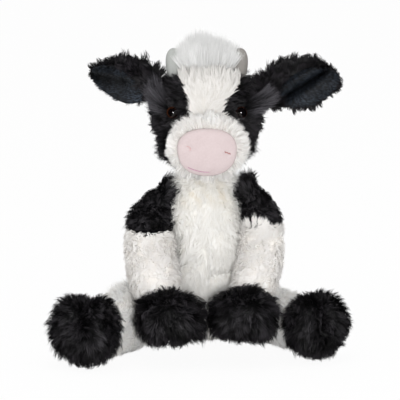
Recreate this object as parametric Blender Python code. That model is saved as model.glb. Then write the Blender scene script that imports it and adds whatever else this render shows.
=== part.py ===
"""A seated plush cow, modelled piece by piece in metres, +Z up, with its face towards -Y.

The origin is the middle of the seat, on the surface that the cow sits on. Left and right are the
cow's own, so left is +X. Each fabric piece is a thick skin, its backing and pile together, and the
stuffing that it holds is a piece of its own.
"""

import math

import bmesh
import bpy
from mathutils import Matrix, Vector

MM = 0.001
SIDES = {"left": 1, "right": -1}
CLEARANCE = 0.3 * MM  # between pieces that touch
MOTION_GAP = 0.3 * MM  # added to the clearance where a limb turns in its socket
FLOOR_DIP = 0.5 * MM  # how far a form dips below the floor before it is cut flat
SLIVER = 0.01 * MM  # points closer than this after the cuts are one
OVERRUN = 30 * MM  # how far a cutter runs past what it cuts
CREASE = 40  # degrees; sharper edges than this stay sharp
TANGENT_STEP = 0.02  # of a spine's length
SOCKET_SIDES = 20
INNER_SIDES = (12, 6)  # sides round and rings along of the inner surfaces and stuffings
ELLIPSOID = 2  # the fullness of an ellipsoid
PILE_WALL = 6 * MM  # backing and long pile
VELOUR_WALL = 1.6 * MM

# Torso: a pear with a narrow neck end, sizes from the floor up
TORSO_HEIGHT = 156 * MM
TORSO_HALF_WIDTH = 50 * MM
TORSO_HALF_DEPTH = 45 * MM
TORSO_LEAN = 6 * MM  # the neck end stands forward of the seat
TORSO_WIDTH_SHARES = (0.86, 1.0, 0.98, 0.84, 0.72, 0.68, 0.66)
TORSO_DEPTH_SHARES = (0.86, 1.0, 0.99, 0.88, 0.76, 0.7, 0.66)
TORSO_FULLNESS = 3.2
TORSO_SIDES = (24, 12)
TORSO_INNER_SIDES = (18, 9)

# Neck: the torso's neck end is a ball that turns in the head's neck opening
NECK_RADIUS = 29 * MM
NECK_OPENING_RADIUS = 15 * MM

# Pellet bag: a flat cushion in the seat, under the stuffing
PELLET_BAG_HALF_HEIGHT = 9 * MM
PELLET_BAG_SHARE = 0.45  # of the torso's inner width and depth

# Head
HEAD_HALF_WIDTH = 50 * MM
HEAD_HALF_DEPTH = 45 * MM
HEAD_HALF_HEIGHT = 49 * MM
HEAD_DROP = 11 * MM  # how far the neck end reaches up into the head
HEAD_FORWARD = 8 * MM  # of the neck's middle
HEAD_ASIDE = 1.5 * MM  # it sits a little to the cow's left
HEAD_WIDTH_SHARES = (0.76, 0.9, 1.02, 1.02, 1.0)
HEAD_DEPTH_SHARES = (0.9, 0.98, 1.0, 1.0, 0.98)
HEAD_FULLNESS = 2.4
HEAD_SIDES = (24, 12)
HEAD_INNER_SIDES = (20, 10)
BLAZE_HEIGHT_SHARES = (1.2, 0.88, 0.6, 0.36, 0.2, -0.1)  # of the head's half height
BLAZE_WIDTH_SHARES = (0.66, 0.6, 0.46, 0.31, 0.36, 0.5)  # of the head's half width
BLAZE_POINTS = 9

# Muzzle, with the nose pad let into its front
MUZZLE_HALF_WIDTH = 37 * MM
MUZZLE_HALF_HEIGHT = 27 * MM
MUZZLE_LENGTH = 32 * MM  # from the head's front to the muzzle's front
MUZZLE_BURIED = 20 * MM
MUZZLE_DROP = 15.5 * MM  # of the muzzle's middle below the head's
MUZZLE_FULLNESS = 2.3
MUZZLE_SIDES = (20, 8)
NOSE_HALF_WIDTH = 25 * MM
NOSE_HALF_HEIGHT = 19.5 * MM
NOSE_PROUD = 1 * MM
NOSE_DROP = 2.5 * MM  # of the nose's middle below the muzzle's
NOSE_TAPER_SHARE = 0.16  # how much narrower the nose is at its foot
NOSE_CORNERS = 2.6  # 2 is an ellipse, more is squarer
NOSE_POINTS = 20
NOSTRIL_APART = 15.5 * MM
NOSTRIL_RISE = 1.5 * MM
NOSTRIL_LENGTH = 5 * MM
NOSTRIL_SLOPE = 1.25 * MM  # how far each end stands above or below the middle
STITCH_RADIUS = 0.5 * MM
MOUTH_HALF_WIDTH = 12 * MM
MOUTH_DROP = 13.5 * MM
MOUTH_SAG = 3 * MM
MOUTH_POINTS = 7

# Eyes: a domed button with a stem, held by a washer behind the fabric
EYE_RADIUS = 5.2 * MM
EYE_DOME = 3.4 * MM
EYE_APART = 30 * MM
EYE_RISE = 12 * MM
EYE_SUNK = 1.6 * MM  # the dome's top below the pile's tips
EYE_STEM_RADIUS = 1.5 * MM
EYE_WASHER_RADIUS = 5.5 * MM
EYE_WASHER_THICKNESS = 1.5 * MM
EYE_SIDES = 14

# Horns and topknot
HORN_RADIUS = 7.2 * MM
HORN_HEIGHT = 11 * MM  # above the head's top
HORN_APART = 26 * MM
HORN_SPLAY = 2 * MM
HORN_BURIED = 16 * MM
HORN_BACK = 2 * MM
HORN_FULLNESS = 3
HORN_SIDES = (12, 6)
TOPKNOT_HALF_WIDTH = 33 * MM
TOPKNOT_HALF_DEPTH = 22 * MM
TOPKNOT_HEIGHT = 24 * MM  # above the head's top
TOPKNOT_BURIED = 14 * MM
TOPKNOT_SIDES = (16, 6)

# Ears: a fur leaf with a velour lining in its hollow front, hinged at its root
EAR_ROOT_RADIUS = 11 * MM
EAR_THICKNESS = 7 * MM  # half of it
EAR_HEIGHT_SHARES = (0.34, 0.54, 0.9, 1.0, 0.92, 0.72)
EAR_SIDES = (16, 8)
EAR_FULLNESS = 2.6
EAR_OUT = 49 * MM  # to the hinge
EAR_BACK = 4 * MM
LINING_SHARE = 0.7
LINING_SINK = 3 * MM
LINING_THICKNESS = 1.6 * MM
EARS = {
    "left": {"length": 70 * MM, "half_height": 25 * MM, "rise": 16 * MM, "hinge_rise": 22 * MM},
    "right": {"length": 49 * MM, "half_height": 22.5 * MM, "rise": 10 * MM, "hinge_rise": 29 * MM},
}
TUFT_LENGTH = 30 * MM
TUFT_HALF_WIDTH = 7 * MM
TUFT_HALF_THICKNESS = 4.8 * MM
TUFT_FULLNESS = 2.2
TUFT_SIDES = (10, 8)
TUFT_TOP_OUT_SHARE = 0.8
TUFT_FOOT_OUT_SHARE = 0.72
TUFT_TOP_RISE_SHARE = 0.66
TUFT_FOOT_RISE_SHARE = 0.24

# Arms: a black shoulder, a white sleeve and a black front hoof, hinged at the shoulder
SHOULDER_TOP_OUT = 34 * MM
SHOULDER_TOP_RISE = 22 * MM  # of the arm's end above the hinge
SHOULDER_HEIGHT = 116 * MM
SHOULDER_FORWARD = 3 * MM
SHOULDER_SOCKET_RADIUS = 34 * MM
ARM_FULLNESS = 2.6
ARM_RADIUS_SHARES = (0.86, 0.96, 1.0, 1.0, 0.94)
ARM_SIDES = (16, 10)
ELBOW_FORWARD = 24 * MM
ELBOW_HEIGHT = 85 * MM
WRIST_OUT = 40 * MM
WRIST_FORWARD = 60 * MM
WRIST_HEIGHT = 59 * MM
ARMS = {
    "left": {"radius": 22 * MM, "shoulder_out": 45 * MM, "elbow_out": 47 * MM, "face": 29.5 * MM},
    "right": {"radius": 23 * MM, "shoulder_out": 43 * MM, "elbow_out": 46 * MM, "face": 26.5 * MM},
}
HOOF_HALF_WIDTH = 28.5 * MM
HOOF_HALF_HEIGHT = 24.5 * MM
HOOF_HALF_DEPTH = 24 * MM
HOOF_FULLNESS = 2.4
HOOF_SIDES = (16, 8)
HOOVES = {
    "left": {"out": 31 * MM, "forward": 82 * MM, "height": 43 * MM},
    "right": {"out": 29.5 * MM, "forward": 84 * MM, "height": 41 * MM},
}
SLEEVE_TOP = {"left": 103 * MM, "right": 98 * MM}

# Legs: a white leg and a black rear hoof, hinged at the hip
HIP_OUT = 49 * MM
LEG_RADIUS = 26 * MM
LEG_FULLNESS = 5
LEG_RADIUS_SHARES = (1.0, 1.02, 1.0, 0.96)
LEG_SIDES = (16, 8)
FOOT_HALF_WIDTH = 30.5 * MM
FOOT_HALF_HEIGHT = 30.5 * MM
FOOT_HALF_LENGTH = 23 * MM
FOOT_FULLNESS = 2.6
FOOT_CLEFT = 4.5 * MM
FOOT_CLEFT_WIDTH = 8 * MM
FOOT_SIDES = (20, 8)
LEGS = {
    "left": {"hip_forward": -3 * MM, "foot_out": 92 * MM, "foot_forward": 68 * MM},
    "right": {"hip_forward": 8 * MM, "foot_out": 98 * MM, "foot_forward": 88 * MM},
}


def clear_scene():
    for thing in list(bpy.data.objects):
        bpy.data.objects.remove(thing, do_unlink=True)


def material(name, colour, roughness):
    made = bpy.data.materials.new(name)
    made.use_nodes = True
    shader = made.node_tree.nodes["Principled BSDF"]
    shader.inputs["Base Color"].default_value = (*colour, 1)
    shader.inputs["Roughness"].default_value = roughness
    shader.inputs["Metallic"].default_value = 0
    made.diffuse_color = (*colour, 1)
    return made


def black_pile():
    return material("black_pile", (0.006, 0.006, 0.007), 0.8)


def white_pile():
    return material("white_pile", (0.83, 0.81, 0.78), 0.9)


def pink_velour():
    return material("pink_velour", (0.78, 0.66, 0.65), 0.85)


def grey_velour():
    return material("grey_velour", (0.56, 0.56, 0.53), 0.85)


def slate_velour():
    return material("slate_velour", (0.017, 0.021, 0.03), 0.85)


def long_grey_hair():
    return material("long_grey_hair", (0.72, 0.72, 0.72), 0.6)


def long_dark_hair():
    return material("long_dark_hair", (0.03, 0.03, 0.033), 0.5)


def polyester_filling():
    return material("polyester_filling", (0.85, 0.85, 0.85), 0.95)


def pellet_cloth():
    return material("pellet_cloth", (0.75, 0.73, 0.68), 0.9)


def brown_eye():
    return material("brown_eye", (0.02, 0.008, 0.004), 0.1)


def clear_plastic():
    return material("clear_plastic", (0.8, 0.8, 0.8), 0.4)


def rose_thread():
    return material("rose_thread", (0.5, 0.2, 0.24), 0.7)


def smooth_value(values, share):
    """Reads a smooth curve through evenly spread values, numbers or points, at a share of it."""
    last = len(values) - 1
    place = min(max(share, 0), 1) * last
    first = min(int(place), last - 1)
    rest = place - first
    start = values[first]
    end = values[first + 1]
    before = values[first - 1] if first > 0 else start * 2 - end
    after = values[first + 2] if first + 2 <= last else end * 2 - start
    slope_in = (end - before) * 0.5
    slope_out = (after - start) * 0.5
    square = rest * rest
    cube = square * rest
    return (start * (2 * cube - 3 * square + 1) + slope_in * (cube - 2 * square + rest)
            + end * (3 * square - 2 * cube) + slope_out * (cube - square))


class Form:
    """A stuffed shape: ellipses along a spine, rounded off at both ends.

    across and through are the ellipse's half sizes at even steps along the spine, side is the
    direction of across, and fullness says how square the ends are: 2 is an ellipsoid's.
    """

    def __init__(self, spine, across, through, side, fullness, shape=None):
        self.spine = [Vector(point) for point in spine]
        self.across = list(across)
        self.through = list(through)
        self.side = Vector(side)
        self.fullness = fullness
        self.shape = shape

    def centre(self, share, grow=0):
        point = smooth_value(self.spine, share)
        tangent = self.tangent(share)
        return point + tangent * grow * (2 * share - 1)

    def tangent(self, share):
        low = smooth_value(self.spine, max(share - TANGENT_STEP, 0))
        high = smooth_value(self.spine, min(share + TANGENT_STEP, 1))
        return (high - low).normalized()

    def ring(self, share, sides, grow):
        along = 2 * share - 1
        round_off = max(1 - abs(along) ** self.fullness, 0) ** (1 / self.fullness)
        across = (smooth_value(self.across, share) + grow) * round_off
        through = (smooth_value(self.through, share) + grow) * round_off
        tangent = self.tangent(share)
        side = (self.side - tangent * self.side.dot(tangent)).normalized()
        front = tangent.cross(side)
        middle = self.centre(share, grow)
        points = []
        for number in range(sides):
            angle = 2 * math.pi * number / sides
            offset = side * (across * math.cos(angle)) + front * (through * math.sin(angle))
            points.append(self.shaped(middle + offset, grow))
        return points

    def shaped(self, point, grow):
        return self.shape(point, grow) if self.shape else point

    def build(self, name, counts, grow=0):
        """One closed mesh, sides round by rings along, every face turned outwards."""
        sides, rings = counts
        mesh = bmesh.new()
        first = mesh.verts.new(self.shaped(self.centre(0, grow), grow))
        last = mesh.verts.new(self.shaped(self.centre(1, grow), grow))
        loops = []
        for number in range(1, rings):
            share = (1 - math.cos(math.pi * number / rings)) / 2
            loops.append([mesh.verts.new(point) for point in self.ring(share, sides, grow)])
        for number in range(sides):
            after = (number + 1) % sides
            mesh.faces.new((first, loops[0][after], loops[0][number]))
            mesh.faces.new((last, loops[-1][number], loops[-1][after]))
            for low, high in zip(loops, loops[1:]):
                mesh.faces.new((low[number], low[after], high[after]))
                mesh.faces.new((low[number], high[after], high[number]))
        bmesh.ops.recalc_face_normals(mesh, faces=mesh.faces)
        return object_from(name, mesh)


def object_from(name, mesh):
    data = bpy.data.meshes.new(name)
    mesh.to_mesh(data)
    mesh.free()
    made = bpy.data.objects.new(name, data)
    bpy.context.collection.objects.link(made)
    return made


def cylinder(name, start, end, radius, sides=SOCKET_SIDES, around=False):
    """A closed cylinder between two points; around sets its flats, not its corners, at the radius."""
    if around:
        radius = radius / math.cos(math.pi / sides)
    start = Vector(start)
    end = Vector(end)
    mesh = bmesh.new()
    bmesh.ops.create_cone(mesh, cap_ends=True, segments=sides, radius1=radius, radius2=radius,
                          depth=(end - start).length)
    turn = Vector((0, 0, 1)).rotation_difference((end - start).normalized())
    bmesh.ops.transform(mesh, matrix=Matrix.Translation((start + end) / 2) @ turn.to_matrix().to_4x4(),
                        verts=mesh.verts)
    return object_from(name, mesh)


def ball(name, centre, radius, around=True):
    """A faceted ball; around sets its flats, not its corners, at the radius."""
    if around:
        radius = radius / math.cos(math.pi / SOCKET_SIDES) ** 2
    mesh = bmesh.new()
    bmesh.ops.create_uvsphere(mesh, u_segments=SOCKET_SIDES, v_segments=SOCKET_SIDES // 2,
                              radius=radius)
    bmesh.ops.translate(mesh, vec=Vector(centre), verts=mesh.verts)
    return object_from(name, mesh)


def box(name, low, high):
    low = Vector(low)
    high = Vector(high)
    mesh = bmesh.new()
    bmesh.ops.create_cube(mesh, size=1)
    for corner in mesh.verts:
        corner.co = [low[axis] if corner.co[axis] < 0 else high[axis] for axis in range(3)]
    return object_from(name, mesh)


def prism(name, outline, front, back):
    """An outline of (x, z) points run along Y from front to back."""
    mesh = bmesh.new()
    face = mesh.faces.new([mesh.verts.new((x, front, z)) for x, z in outline])
    grown = bmesh.ops.extrude_face_region(mesh, geom=[face])
    moved = [item for item in grown["geom"] if isinstance(item, bmesh.types.BMVert)]
    bmesh.ops.translate(mesh, vec=(0, back - front, 0), verts=moved)
    bmesh.ops.recalc_face_normals(mesh, faces=mesh.faces)
    return object_from(name, mesh)


def combine(target, tool, operation):
    """Adds a Boolean to the target, and makes the tool a guide that isn't part of the cow."""
    change = target.modifiers.new(f"{operation.lower()}_{tool.name}", "BOOLEAN")
    change.operation = operation
    change.solver = "EXACT"
    change.object = tool
    tool.hide_render = True
    tool.display_type = "WIRE"


def cut(target, *tools):
    for tool in tools:
        combine(target, tool, "DIFFERENCE")
    return target


def keep(target, tool):
    combine(target, tool, "INTERSECT")
    return target


def join(target, tool):
    combine(target, tool, "UNION")
    return target


def finish(piece, fabric, body):
    """Gives the piece its material, rounds its shading and hangs it on its body's empty."""
    piece.data.materials.append(fabric)
    piece.data.shade_smooth()
    piece.data.set_sharp_from_angle(angle=math.radians(CREASE))
    weld = piece.modifiers.new("slivers", "WELD")
    weld.merge_threshold = SLIVER
    if body:
        piece.parent = body
        piece.matrix_parent_inverse = Matrix.Translation(-body.location)
    return piece


def joint_empty(name, place):
    made = bpy.data.objects.new(name, None)
    made.location = place
    bpy.context.collection.objects.link(made)
    return made


def mirrored(side, out, forward, height):
    """A place given as sizes out from the middle, forward of it and above the floor."""
    return Vector((SIDES[side] * out, -forward, height))


def below_floor(name):
    reach = TORSO_HEIGHT
    return box(name, (-reach, -reach, -OVERRUN), (reach, reach, 0))


# Places that several pieces share
NECK = Vector((0, -TORSO_LEAN, TORSO_HEIGHT - NECK_RADIUS))
HEAD = NECK + Vector((HEAD_ASIDE, -HEAD_FORWARD, NECK_RADIUS - HEAD_DROP + HEAD_HALF_HEIGHT))
HEAD_TOP = HEAD.z + HEAD_HALF_HEIGHT
HEAD_FRONT = HEAD.y - HEAD_HALF_DEPTH
MUZZLE = Vector((HEAD.x, HEAD_FRONT, HEAD.z - MUZZLE_DROP))


def neck_rounding(point, grow):
    """Draws the torso's neck end in to a ball round the neck's middle."""
    offset = point - NECK
    limit = NECK_RADIUS + grow
    if offset.z > 0 and offset.length > limit:
        return NECK + offset * (limit / offset.length)
    return point


def torso_form():
    foot = Vector((0, 0, -FLOOR_DIP))
    top = Vector((0, -TORSO_LEAN, TORSO_HEIGHT))
    across = [TORSO_HALF_WIDTH * share for share in TORSO_WIDTH_SHARES]
    through = [TORSO_HALF_DEPTH * share for share in TORSO_DEPTH_SHARES]
    return Form((foot, (foot + top) / 2, top), across, through, (1, 0, 0), TORSO_FULLNESS,
                neck_rounding)


def head_form():
    foot = HEAD - Vector((0, 0, HEAD_HALF_HEIGHT))
    top = HEAD + Vector((0, 0, HEAD_HALF_HEIGHT))
    across = [HEAD_HALF_WIDTH * share for share in HEAD_WIDTH_SHARES]
    through = [HEAD_HALF_DEPTH * share for share in HEAD_DEPTH_SHARES]
    return Form((foot, HEAD, top), across, through, (1, 0, 0), HEAD_FULLNESS)


def muzzle_form():
    back = MUZZLE + Vector((0, MUZZLE_BURIED, 0))
    front = MUZZLE - Vector((0, MUZZLE_LENGTH, 0))
    return Form((back, (back + front) / 2, front), [MUZZLE_HALF_WIDTH] * 3,
                [MUZZLE_HALF_HEIGHT] * 3, (1, 0, 0), MUZZLE_FULLNESS)


def surface_y(form, x, height, grow=0):
    """Where an upright form's front lies at an x and a height."""
    low = form.spine[0].z - grow
    high = form.spine[-1].z + grow
    share = (height - low) / (high - low)
    along = 2 * share - 1
    round_off = (1 - abs(along) ** form.fullness) ** (1 / form.fullness)
    across = (smooth_value(form.across, share) + grow) * round_off
    through = (smooth_value(form.through, share) + grow) * round_off
    middle = form.centre(share, grow)
    return middle.y - through * math.sqrt(max(1 - ((x - middle.x) / across) ** 2, 0))


def muzzle_surface_y(x, height, grow=0):
    """Where the muzzle's front lies at an x and a height."""
    half_length = (MUZZLE_LENGTH + MUZZLE_BURIED) / 2 + grow
    middle = MUZZLE.y + (MUZZLE_BURIED - MUZZLE_LENGTH) / 2
    radius = math.hypot((x - MUZZLE.x) / (MUZZLE_HALF_WIDTH + grow),
                        (height - MUZZLE.z) / (MUZZLE_HALF_HEIGHT + grow))
    along = (1 - min(radius, 1) ** MUZZLE_FULLNESS) ** (1 / MUZZLE_FULLNESS)
    return middle - half_length * along


def arm_form(side):
    sizes = ARMS[side]
    top = mirrored(side, SHOULDER_TOP_OUT, SHOULDER_FORWARD, SHOULDER_HEIGHT + SHOULDER_TOP_RISE)
    elbow = mirrored(side, sizes["elbow_out"], ELBOW_FORWARD, ELBOW_HEIGHT)
    wrist = mirrored(side, WRIST_OUT, WRIST_FORWARD, WRIST_HEIGHT)
    radii = [sizes["radius"] * share for share in ARM_RADIUS_SHARES]
    return Form((top, shoulder_hinge(side), elbow, wrist, hoof_place(side)), radii, radii,
                (1, 0, 0), ARM_FULLNESS)


def hoof_place(side):
    return mirrored(side, HOOVES[side]["out"], HOOVES[side]["forward"], HOOVES[side]["height"])


def hoof_form(side):
    middle = hoof_place(side)
    reach = Vector((0, -1, -1)).normalized() * HOOF_HALF_DEPTH
    return Form((middle - reach, middle, middle + reach), [HOOF_HALF_WIDTH] * 3,
                [HOOF_HALF_HEIGHT] * 3, (1, 0, 0), HOOF_FULLNESS)


def hip_place(side):
    return mirrored(side, HIP_OUT, LEGS[side]["hip_forward"], LEG_RADIUS - FLOOR_DIP)


def foot_place(side):
    return mirrored(side, LEGS[side]["foot_out"], LEGS[side]["foot_forward"],
                    FOOT_HALF_HEIGHT - FLOOR_DIP)


def leg_way(side):
    """The level direction from the hip to the foot."""
    way = foot_place(side) - hip_place(side)
    way.z = 0
    return way.normalized()


def leg_form(side):
    hip = hip_place(side)
    way = leg_way(side)
    foot = foot_place(side)
    foot.z = hip.z
    start = hip - way * LEG_RADIUS
    radii = [LEG_RADIUS * share for share in LEG_RADIUS_SHARES]

    def hip_rounding(point, grow):
        offset = point - hip
        limit = LEG_RADIUS + grow
        if offset.dot(way) < 0 and offset.length > limit:
            return hip + offset * (limit / offset.length)
        return point

    return Form((start, (start + foot) / 2, foot), radii, radii, way.cross((0, 0, 1)),
                LEG_FULLNESS, hip_rounding)


def foot_form(side):
    middle = foot_place(side)
    way = leg_way(side)
    across = way.cross((0, 0, 1))

    def cleft(point, grow):
        offset = point - middle
        height = max(offset.z / FOOT_HALF_HEIGHT, 0)
        nearness = math.exp(-(offset.dot(across) / FOOT_CLEFT_WIDTH) ** 2)
        return point - Vector((0, 0, FOOT_CLEFT * height * nearness))

    start = middle - way * FOOT_HALF_LENGTH
    end = middle + way * FOOT_HALF_LENGTH
    return Form((start, middle, end), [FOOT_HALF_WIDTH] * 3, [FOOT_HALF_HEIGHT] * 3, across,
                FOOT_FULLNESS, cleft)


def ear_hinge(side):
    return Vector((HEAD.x + SIDES[side] * EAR_OUT, HEAD.y + EAR_BACK, HEAD.z + EARS[side]["hinge_rise"]))


def ear_form(side, thickness, share=1):
    """The ear's leaf, from its root to its tip; share draws its outline in for the lining."""
    hinge = ear_hinge(side)
    sizes = EARS[side]
    tip = hinge + Vector((SIDES[side] * sizes["length"], 0, sizes["rise"]))
    root = hinge - (tip - hinge).normalized() * EAR_ROOT_RADIUS
    inset = (tip - root) * (1 - share) / 2
    heights = [sizes["half_height"] * height * share for height in EAR_HEIGHT_SHARES]

    def root_rounding(point, grow):
        offset = point - hinge
        level = Vector((offset.x, 0, offset.z))
        limit = EAR_ROOT_RADIUS + grow
        if level.dot(tip - hinge) < 0 and level.length > limit:
            return hinge + level * (limit / level.length) + Vector((0, offset.y, 0))
        return point

    return Form((root + inset, (root + tip) / 2, tip - inset), heights,
                [thickness] * len(heights), (0, 0, 1), EAR_FULLNESS, root_rounding)


def shoulder_hinge(side):
    return mirrored(side, ARMS[side]["shoulder_out"], SHOULDER_FORWARD, SHOULDER_HEIGHT)


def shoulder_socket(name, side, face, radius, around):
    """A drum round the shoulder's axis, from the torso's flat side outwards."""
    centre = shoulder_hinge(side)
    start = Vector((SIDES[side] * face, centre.y, centre.z))
    end = Vector((SIDES[side] * (TORSO_HALF_WIDTH + OVERRUN), centre.y, centre.z))
    return cylinder(name, start, end, radius, around=around)


def open_torso(target, label, slack):
    """Cuts the shoulder and hip sockets into a torso shape; slack widens them.

    A socket is wide enough at its flats, and what turns in it is narrow enough at its corners.
    """
    around = slack >= 0
    for side in SIDES:
        cut(target, shoulder_socket(f"{label}_shoulder_socket_{side}", side,
                                    ARMS[side]["face"] - slack, SHOULDER_SOCKET_RADIUS + slack,
                                    around))
        cut(target, ball(f"{label}_hip_socket_{side}", hip_place(side),
                         LEG_RADIUS + CLEARANCE + MOTION_GAP + slack, around))


def torso_keep_out(name):
    """The torso grown by its gap to the limbs, which they are cut by."""
    keep_out = torso_form().build(name, TORSO_SIDES, CLEARANCE + 2 * MOTION_GAP)
    open_torso(keep_out, name, -CLEARANCE)
    return keep_out


def make_torso():
    form = torso_form()
    skin = form.build("torso_skin", TORSO_SIDES)
    cut(skin, form.build("torso_inside", TORSO_INNER_SIDES, -PILE_WALL))
    opening_top = NECK + Vector((0, 0, NECK_RADIUS + OVERRUN))
    cut(skin, cylinder("neck_hole", NECK, opening_top, NECK_OPENING_RADIUS))
    open_torso(skin, "torso", 0)
    cut(skin, below_floor("torso_floor"))
    finish(skin, white_pile(), None)

    bag_height = PILE_WALL + CLEARANCE + PELLET_BAG_HALF_HEIGHT
    bag_foot = Vector((0, 0, bag_height - PELLET_BAG_HALF_HEIGHT))
    bag_top = Vector((0, 0, bag_height + PELLET_BAG_HALF_HEIGHT))
    half_width = (TORSO_HALF_WIDTH - PILE_WALL) * PELLET_BAG_SHARE
    half_depth = (TORSO_HALF_DEPTH - PILE_WALL) * PELLET_BAG_SHARE
    bag_form = Form((bag_foot, (bag_foot + bag_top) / 2, bag_top), [half_width] * 3,
                    [half_depth] * 3, (1, 0, 0), TORSO_FULLNESS)
    bag = bag_form.build("pellet_bag", INNER_SIDES)
    keep(bag, form.build("bag_limit", TORSO_INNER_SIDES, -PILE_WALL - CLEARANCE))
    finish(bag, pellet_cloth(), None)

    filling = form.build("torso_filling", TORSO_INNER_SIDES, -PILE_WALL - CLEARANCE)
    reach = TORSO_HEIGHT
    cut(filling, bag_form.build("bag_room", INNER_SIDES, CLEARANCE),
        box("under_bag", (-reach, -reach, -OVERRUN),
            (reach, reach, bag_height - PELLET_BAG_HALF_HEIGHT / 2)))
    open_torso(filling, "filling", CLEARANCE)
    finish(filling, polyester_filling(), None)


def blaze_outline(grow):
    """The blaze's edge seen from the front: down one side and up the other."""
    rows = []
    for number in range(BLAZE_POINTS):
        share = number / (BLAZE_POINTS - 1)
        height = HEAD.z + HEAD_HALF_HEIGHT * smooth_value(BLAZE_HEIGHT_SHARES, share)
        half = HEAD_HALF_WIDTH * smooth_value(BLAZE_WIDTH_SHARES, share) + grow
        rows.append((half, height))
    rows[0] = (rows[0][0], rows[0][1] + grow)
    rows[-1] = (rows[-1][0], rows[-1][1] - grow)
    left = [(HEAD.x + half, height) for half, height in rows]
    right = [(HEAD.x - half, height) for half, height in reversed(rows)]
    return left + right


def nose_outline(grow):
    """A rounded trapezoid, wider at its top."""
    points = []
    for number in range(NOSE_POINTS):
        angle = 2 * math.pi * number / NOSE_POINTS
        reach = (abs(math.cos(angle)) ** NOSE_CORNERS + abs(math.sin(angle)) ** NOSE_CORNERS)
        reach = reach ** (-1 / NOSE_CORNERS)
        across = reach * math.cos(angle)
        up = reach * math.sin(angle)
        narrow = 1 - NOSE_TAPER_SHARE * (1 - up) / 2
        points.append((MUZZLE.x + (NOSE_HALF_WIDTH + grow) * across * narrow,
                       MUZZLE.z - NOSE_DROP + (NOSE_HALF_HEIGHT + grow) * up))
    return points


def eye_axis(side):
    """The eye's place on the pile's tips and the direction that it looks in."""
    form = head_form()
    x = HEAD.x + SIDES[side] * EYE_APART
    height = HEAD.z + EYE_RISE
    place = Vector((x, surface_y(form, x, height), height))
    look = place - HEAD
    look.x = look.x * (HEAD_HALF_DEPTH / HEAD_HALF_WIDTH) ** 2
    return place, look.normalized()


def head_keep_out(name):
    """The head grown by the clearance, which the pieces on it are cut by."""
    return head_form().build(name, HEAD_SIDES, CLEARANCE)


def neck_socket(name, slack):
    return ball(name, NECK, NECK_RADIUS + slack)


def make_head(body):
    form = head_form()
    back = HEAD.y - PILE_WALL
    front = HEAD_FRONT - OVERRUN
    socket = neck_socket("neck_socket", CLEARANCE)
    inside = form.build("head_inside", HEAD_INNER_SIDES, -PILE_WALL)

    skin = form.build("head_skin", HEAD_SIDES)
    cut(skin, inside, socket, prism("blaze_room", blaze_outline(CLEARANCE), front, back))
    blaze = form.build("head_blaze", HEAD_SIDES)
    cut(blaze, inside, socket)
    keep(blaze, prism("blaze_edge", blaze_outline(0), front, back - CLEARANCE))

    filling = form.build("head_filling", HEAD_INNER_SIDES, -PILE_WALL - CLEARANCE)
    cut(filling, neck_socket("filling_neck_socket", CLEARANCE + MOTION_GAP))
    for side in SIDES:
        make_eye(side, body, skin, filling)
        socket = ear_socket(side)
        cut(skin, socket)
        cut(filling, socket)
    finish(skin, black_pile(), body)
    finish(blaze, white_pile(), body)
    finish(filling, polyester_filling(), body)


def make_eye(side, body, skin, filling):
    """A domed eye in a pocket of the pile, its stem through the backing and its washer inside."""
    place, look = eye_axis(side)
    seat = place - look * (EYE_SUNK + EYE_DOME)
    inner = place - look * PILE_WALL
    washer_out = inner - look * (CLEARANCE + MOTION_GAP + CLEARANCE)
    washer_in = washer_out - look * EYE_WASHER_THICKNESS
    stem_end = washer_in - look * EYE_WASHER_THICKNESS

    eye = cylinder(f"eye_{side}", seat + look * (EYE_DOME / 2), stem_end, EYE_STEM_RADIUS, EYE_SIDES)
    dome = Form((seat, (seat + place) / 2, place - look * EYE_SUNK), [EYE_RADIUS] * 3,
                [EYE_RADIUS] * 3, look.cross((0, 0, 1)), ELLIPSOID)
    join(eye, dome.build(f"eye_dome_{side}", INNER_SIDES))
    finish(eye, brown_eye(), body)

    washer = cylinder(f"eye_washer_{side}", washer_out, washer_in, EYE_WASHER_RADIUS, EYE_SIDES)
    cut(washer, cylinder(f"washer_hole_{side}", place, stem_end - look * OVERRUN,
                         EYE_STEM_RADIUS + CLEARANCE, EYE_SIDES))
    finish(washer, clear_plastic(), body)

    pocket = cylinder(f"eye_pocket_{side}", seat - look * CLEARANCE, place + look * OVERRUN,
                      EYE_RADIUS + CLEARANCE, EYE_SIDES)
    hole = cylinder(f"stem_hole_{side}", place, stem_end - look * OVERRUN,
                    EYE_STEM_RADIUS + CLEARANCE, EYE_SIDES)
    room = cylinder(f"washer_room_{side}", washer_out + look * CLEARANCE,
                    stem_end - look * CLEARANCE, EYE_WASHER_RADIUS + CLEARANCE, EYE_SIDES)
    cut(skin, pocket, hole, room)
    cut(filling, hole, room)


def ear_socket(side):
    """The hollow in the head that the ear's root turns in."""
    hinge = ear_hinge(side)
    reach = Vector((0, EAR_THICKNESS + CLEARANCE + MOTION_GAP, 0))
    return cylinder(f"ear_socket_{side}", hinge - reach, hinge + reach,
                    EAR_ROOT_RADIUS + CLEARANCE + MOTION_GAP, around=True)


def make_muzzle(body):
    form = muzzle_form()
    front = MUZZLE.y - MUZZLE_LENGTH - OVERRUN
    back = MUZZLE.y
    inside = form.build("muzzle_inside", INNER_SIDES, -PILE_WALL)
    skin = form.build("muzzle_skin", MUZZLE_SIDES)
    cut(skin, inside, head_keep_out("muzzle_head"),
        prism("nose_room", nose_outline(CLEARANCE), front, back))
    finish(skin, white_pile(), body)

    filling = form.build("muzzle_filling", INNER_SIDES, -PILE_WALL - CLEARANCE)
    cut(filling, head_keep_out("muzzle_filling_head"))
    finish(filling, polyester_filling(), body)

    nose = form.build("nose_pad", MUZZLE_SIDES, NOSE_PROUD)
    cut(nose, inside)
    keep(nose, prism("nose_edge", nose_outline(0), front, back))
    finish(nose, pink_velour(), body)


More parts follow.
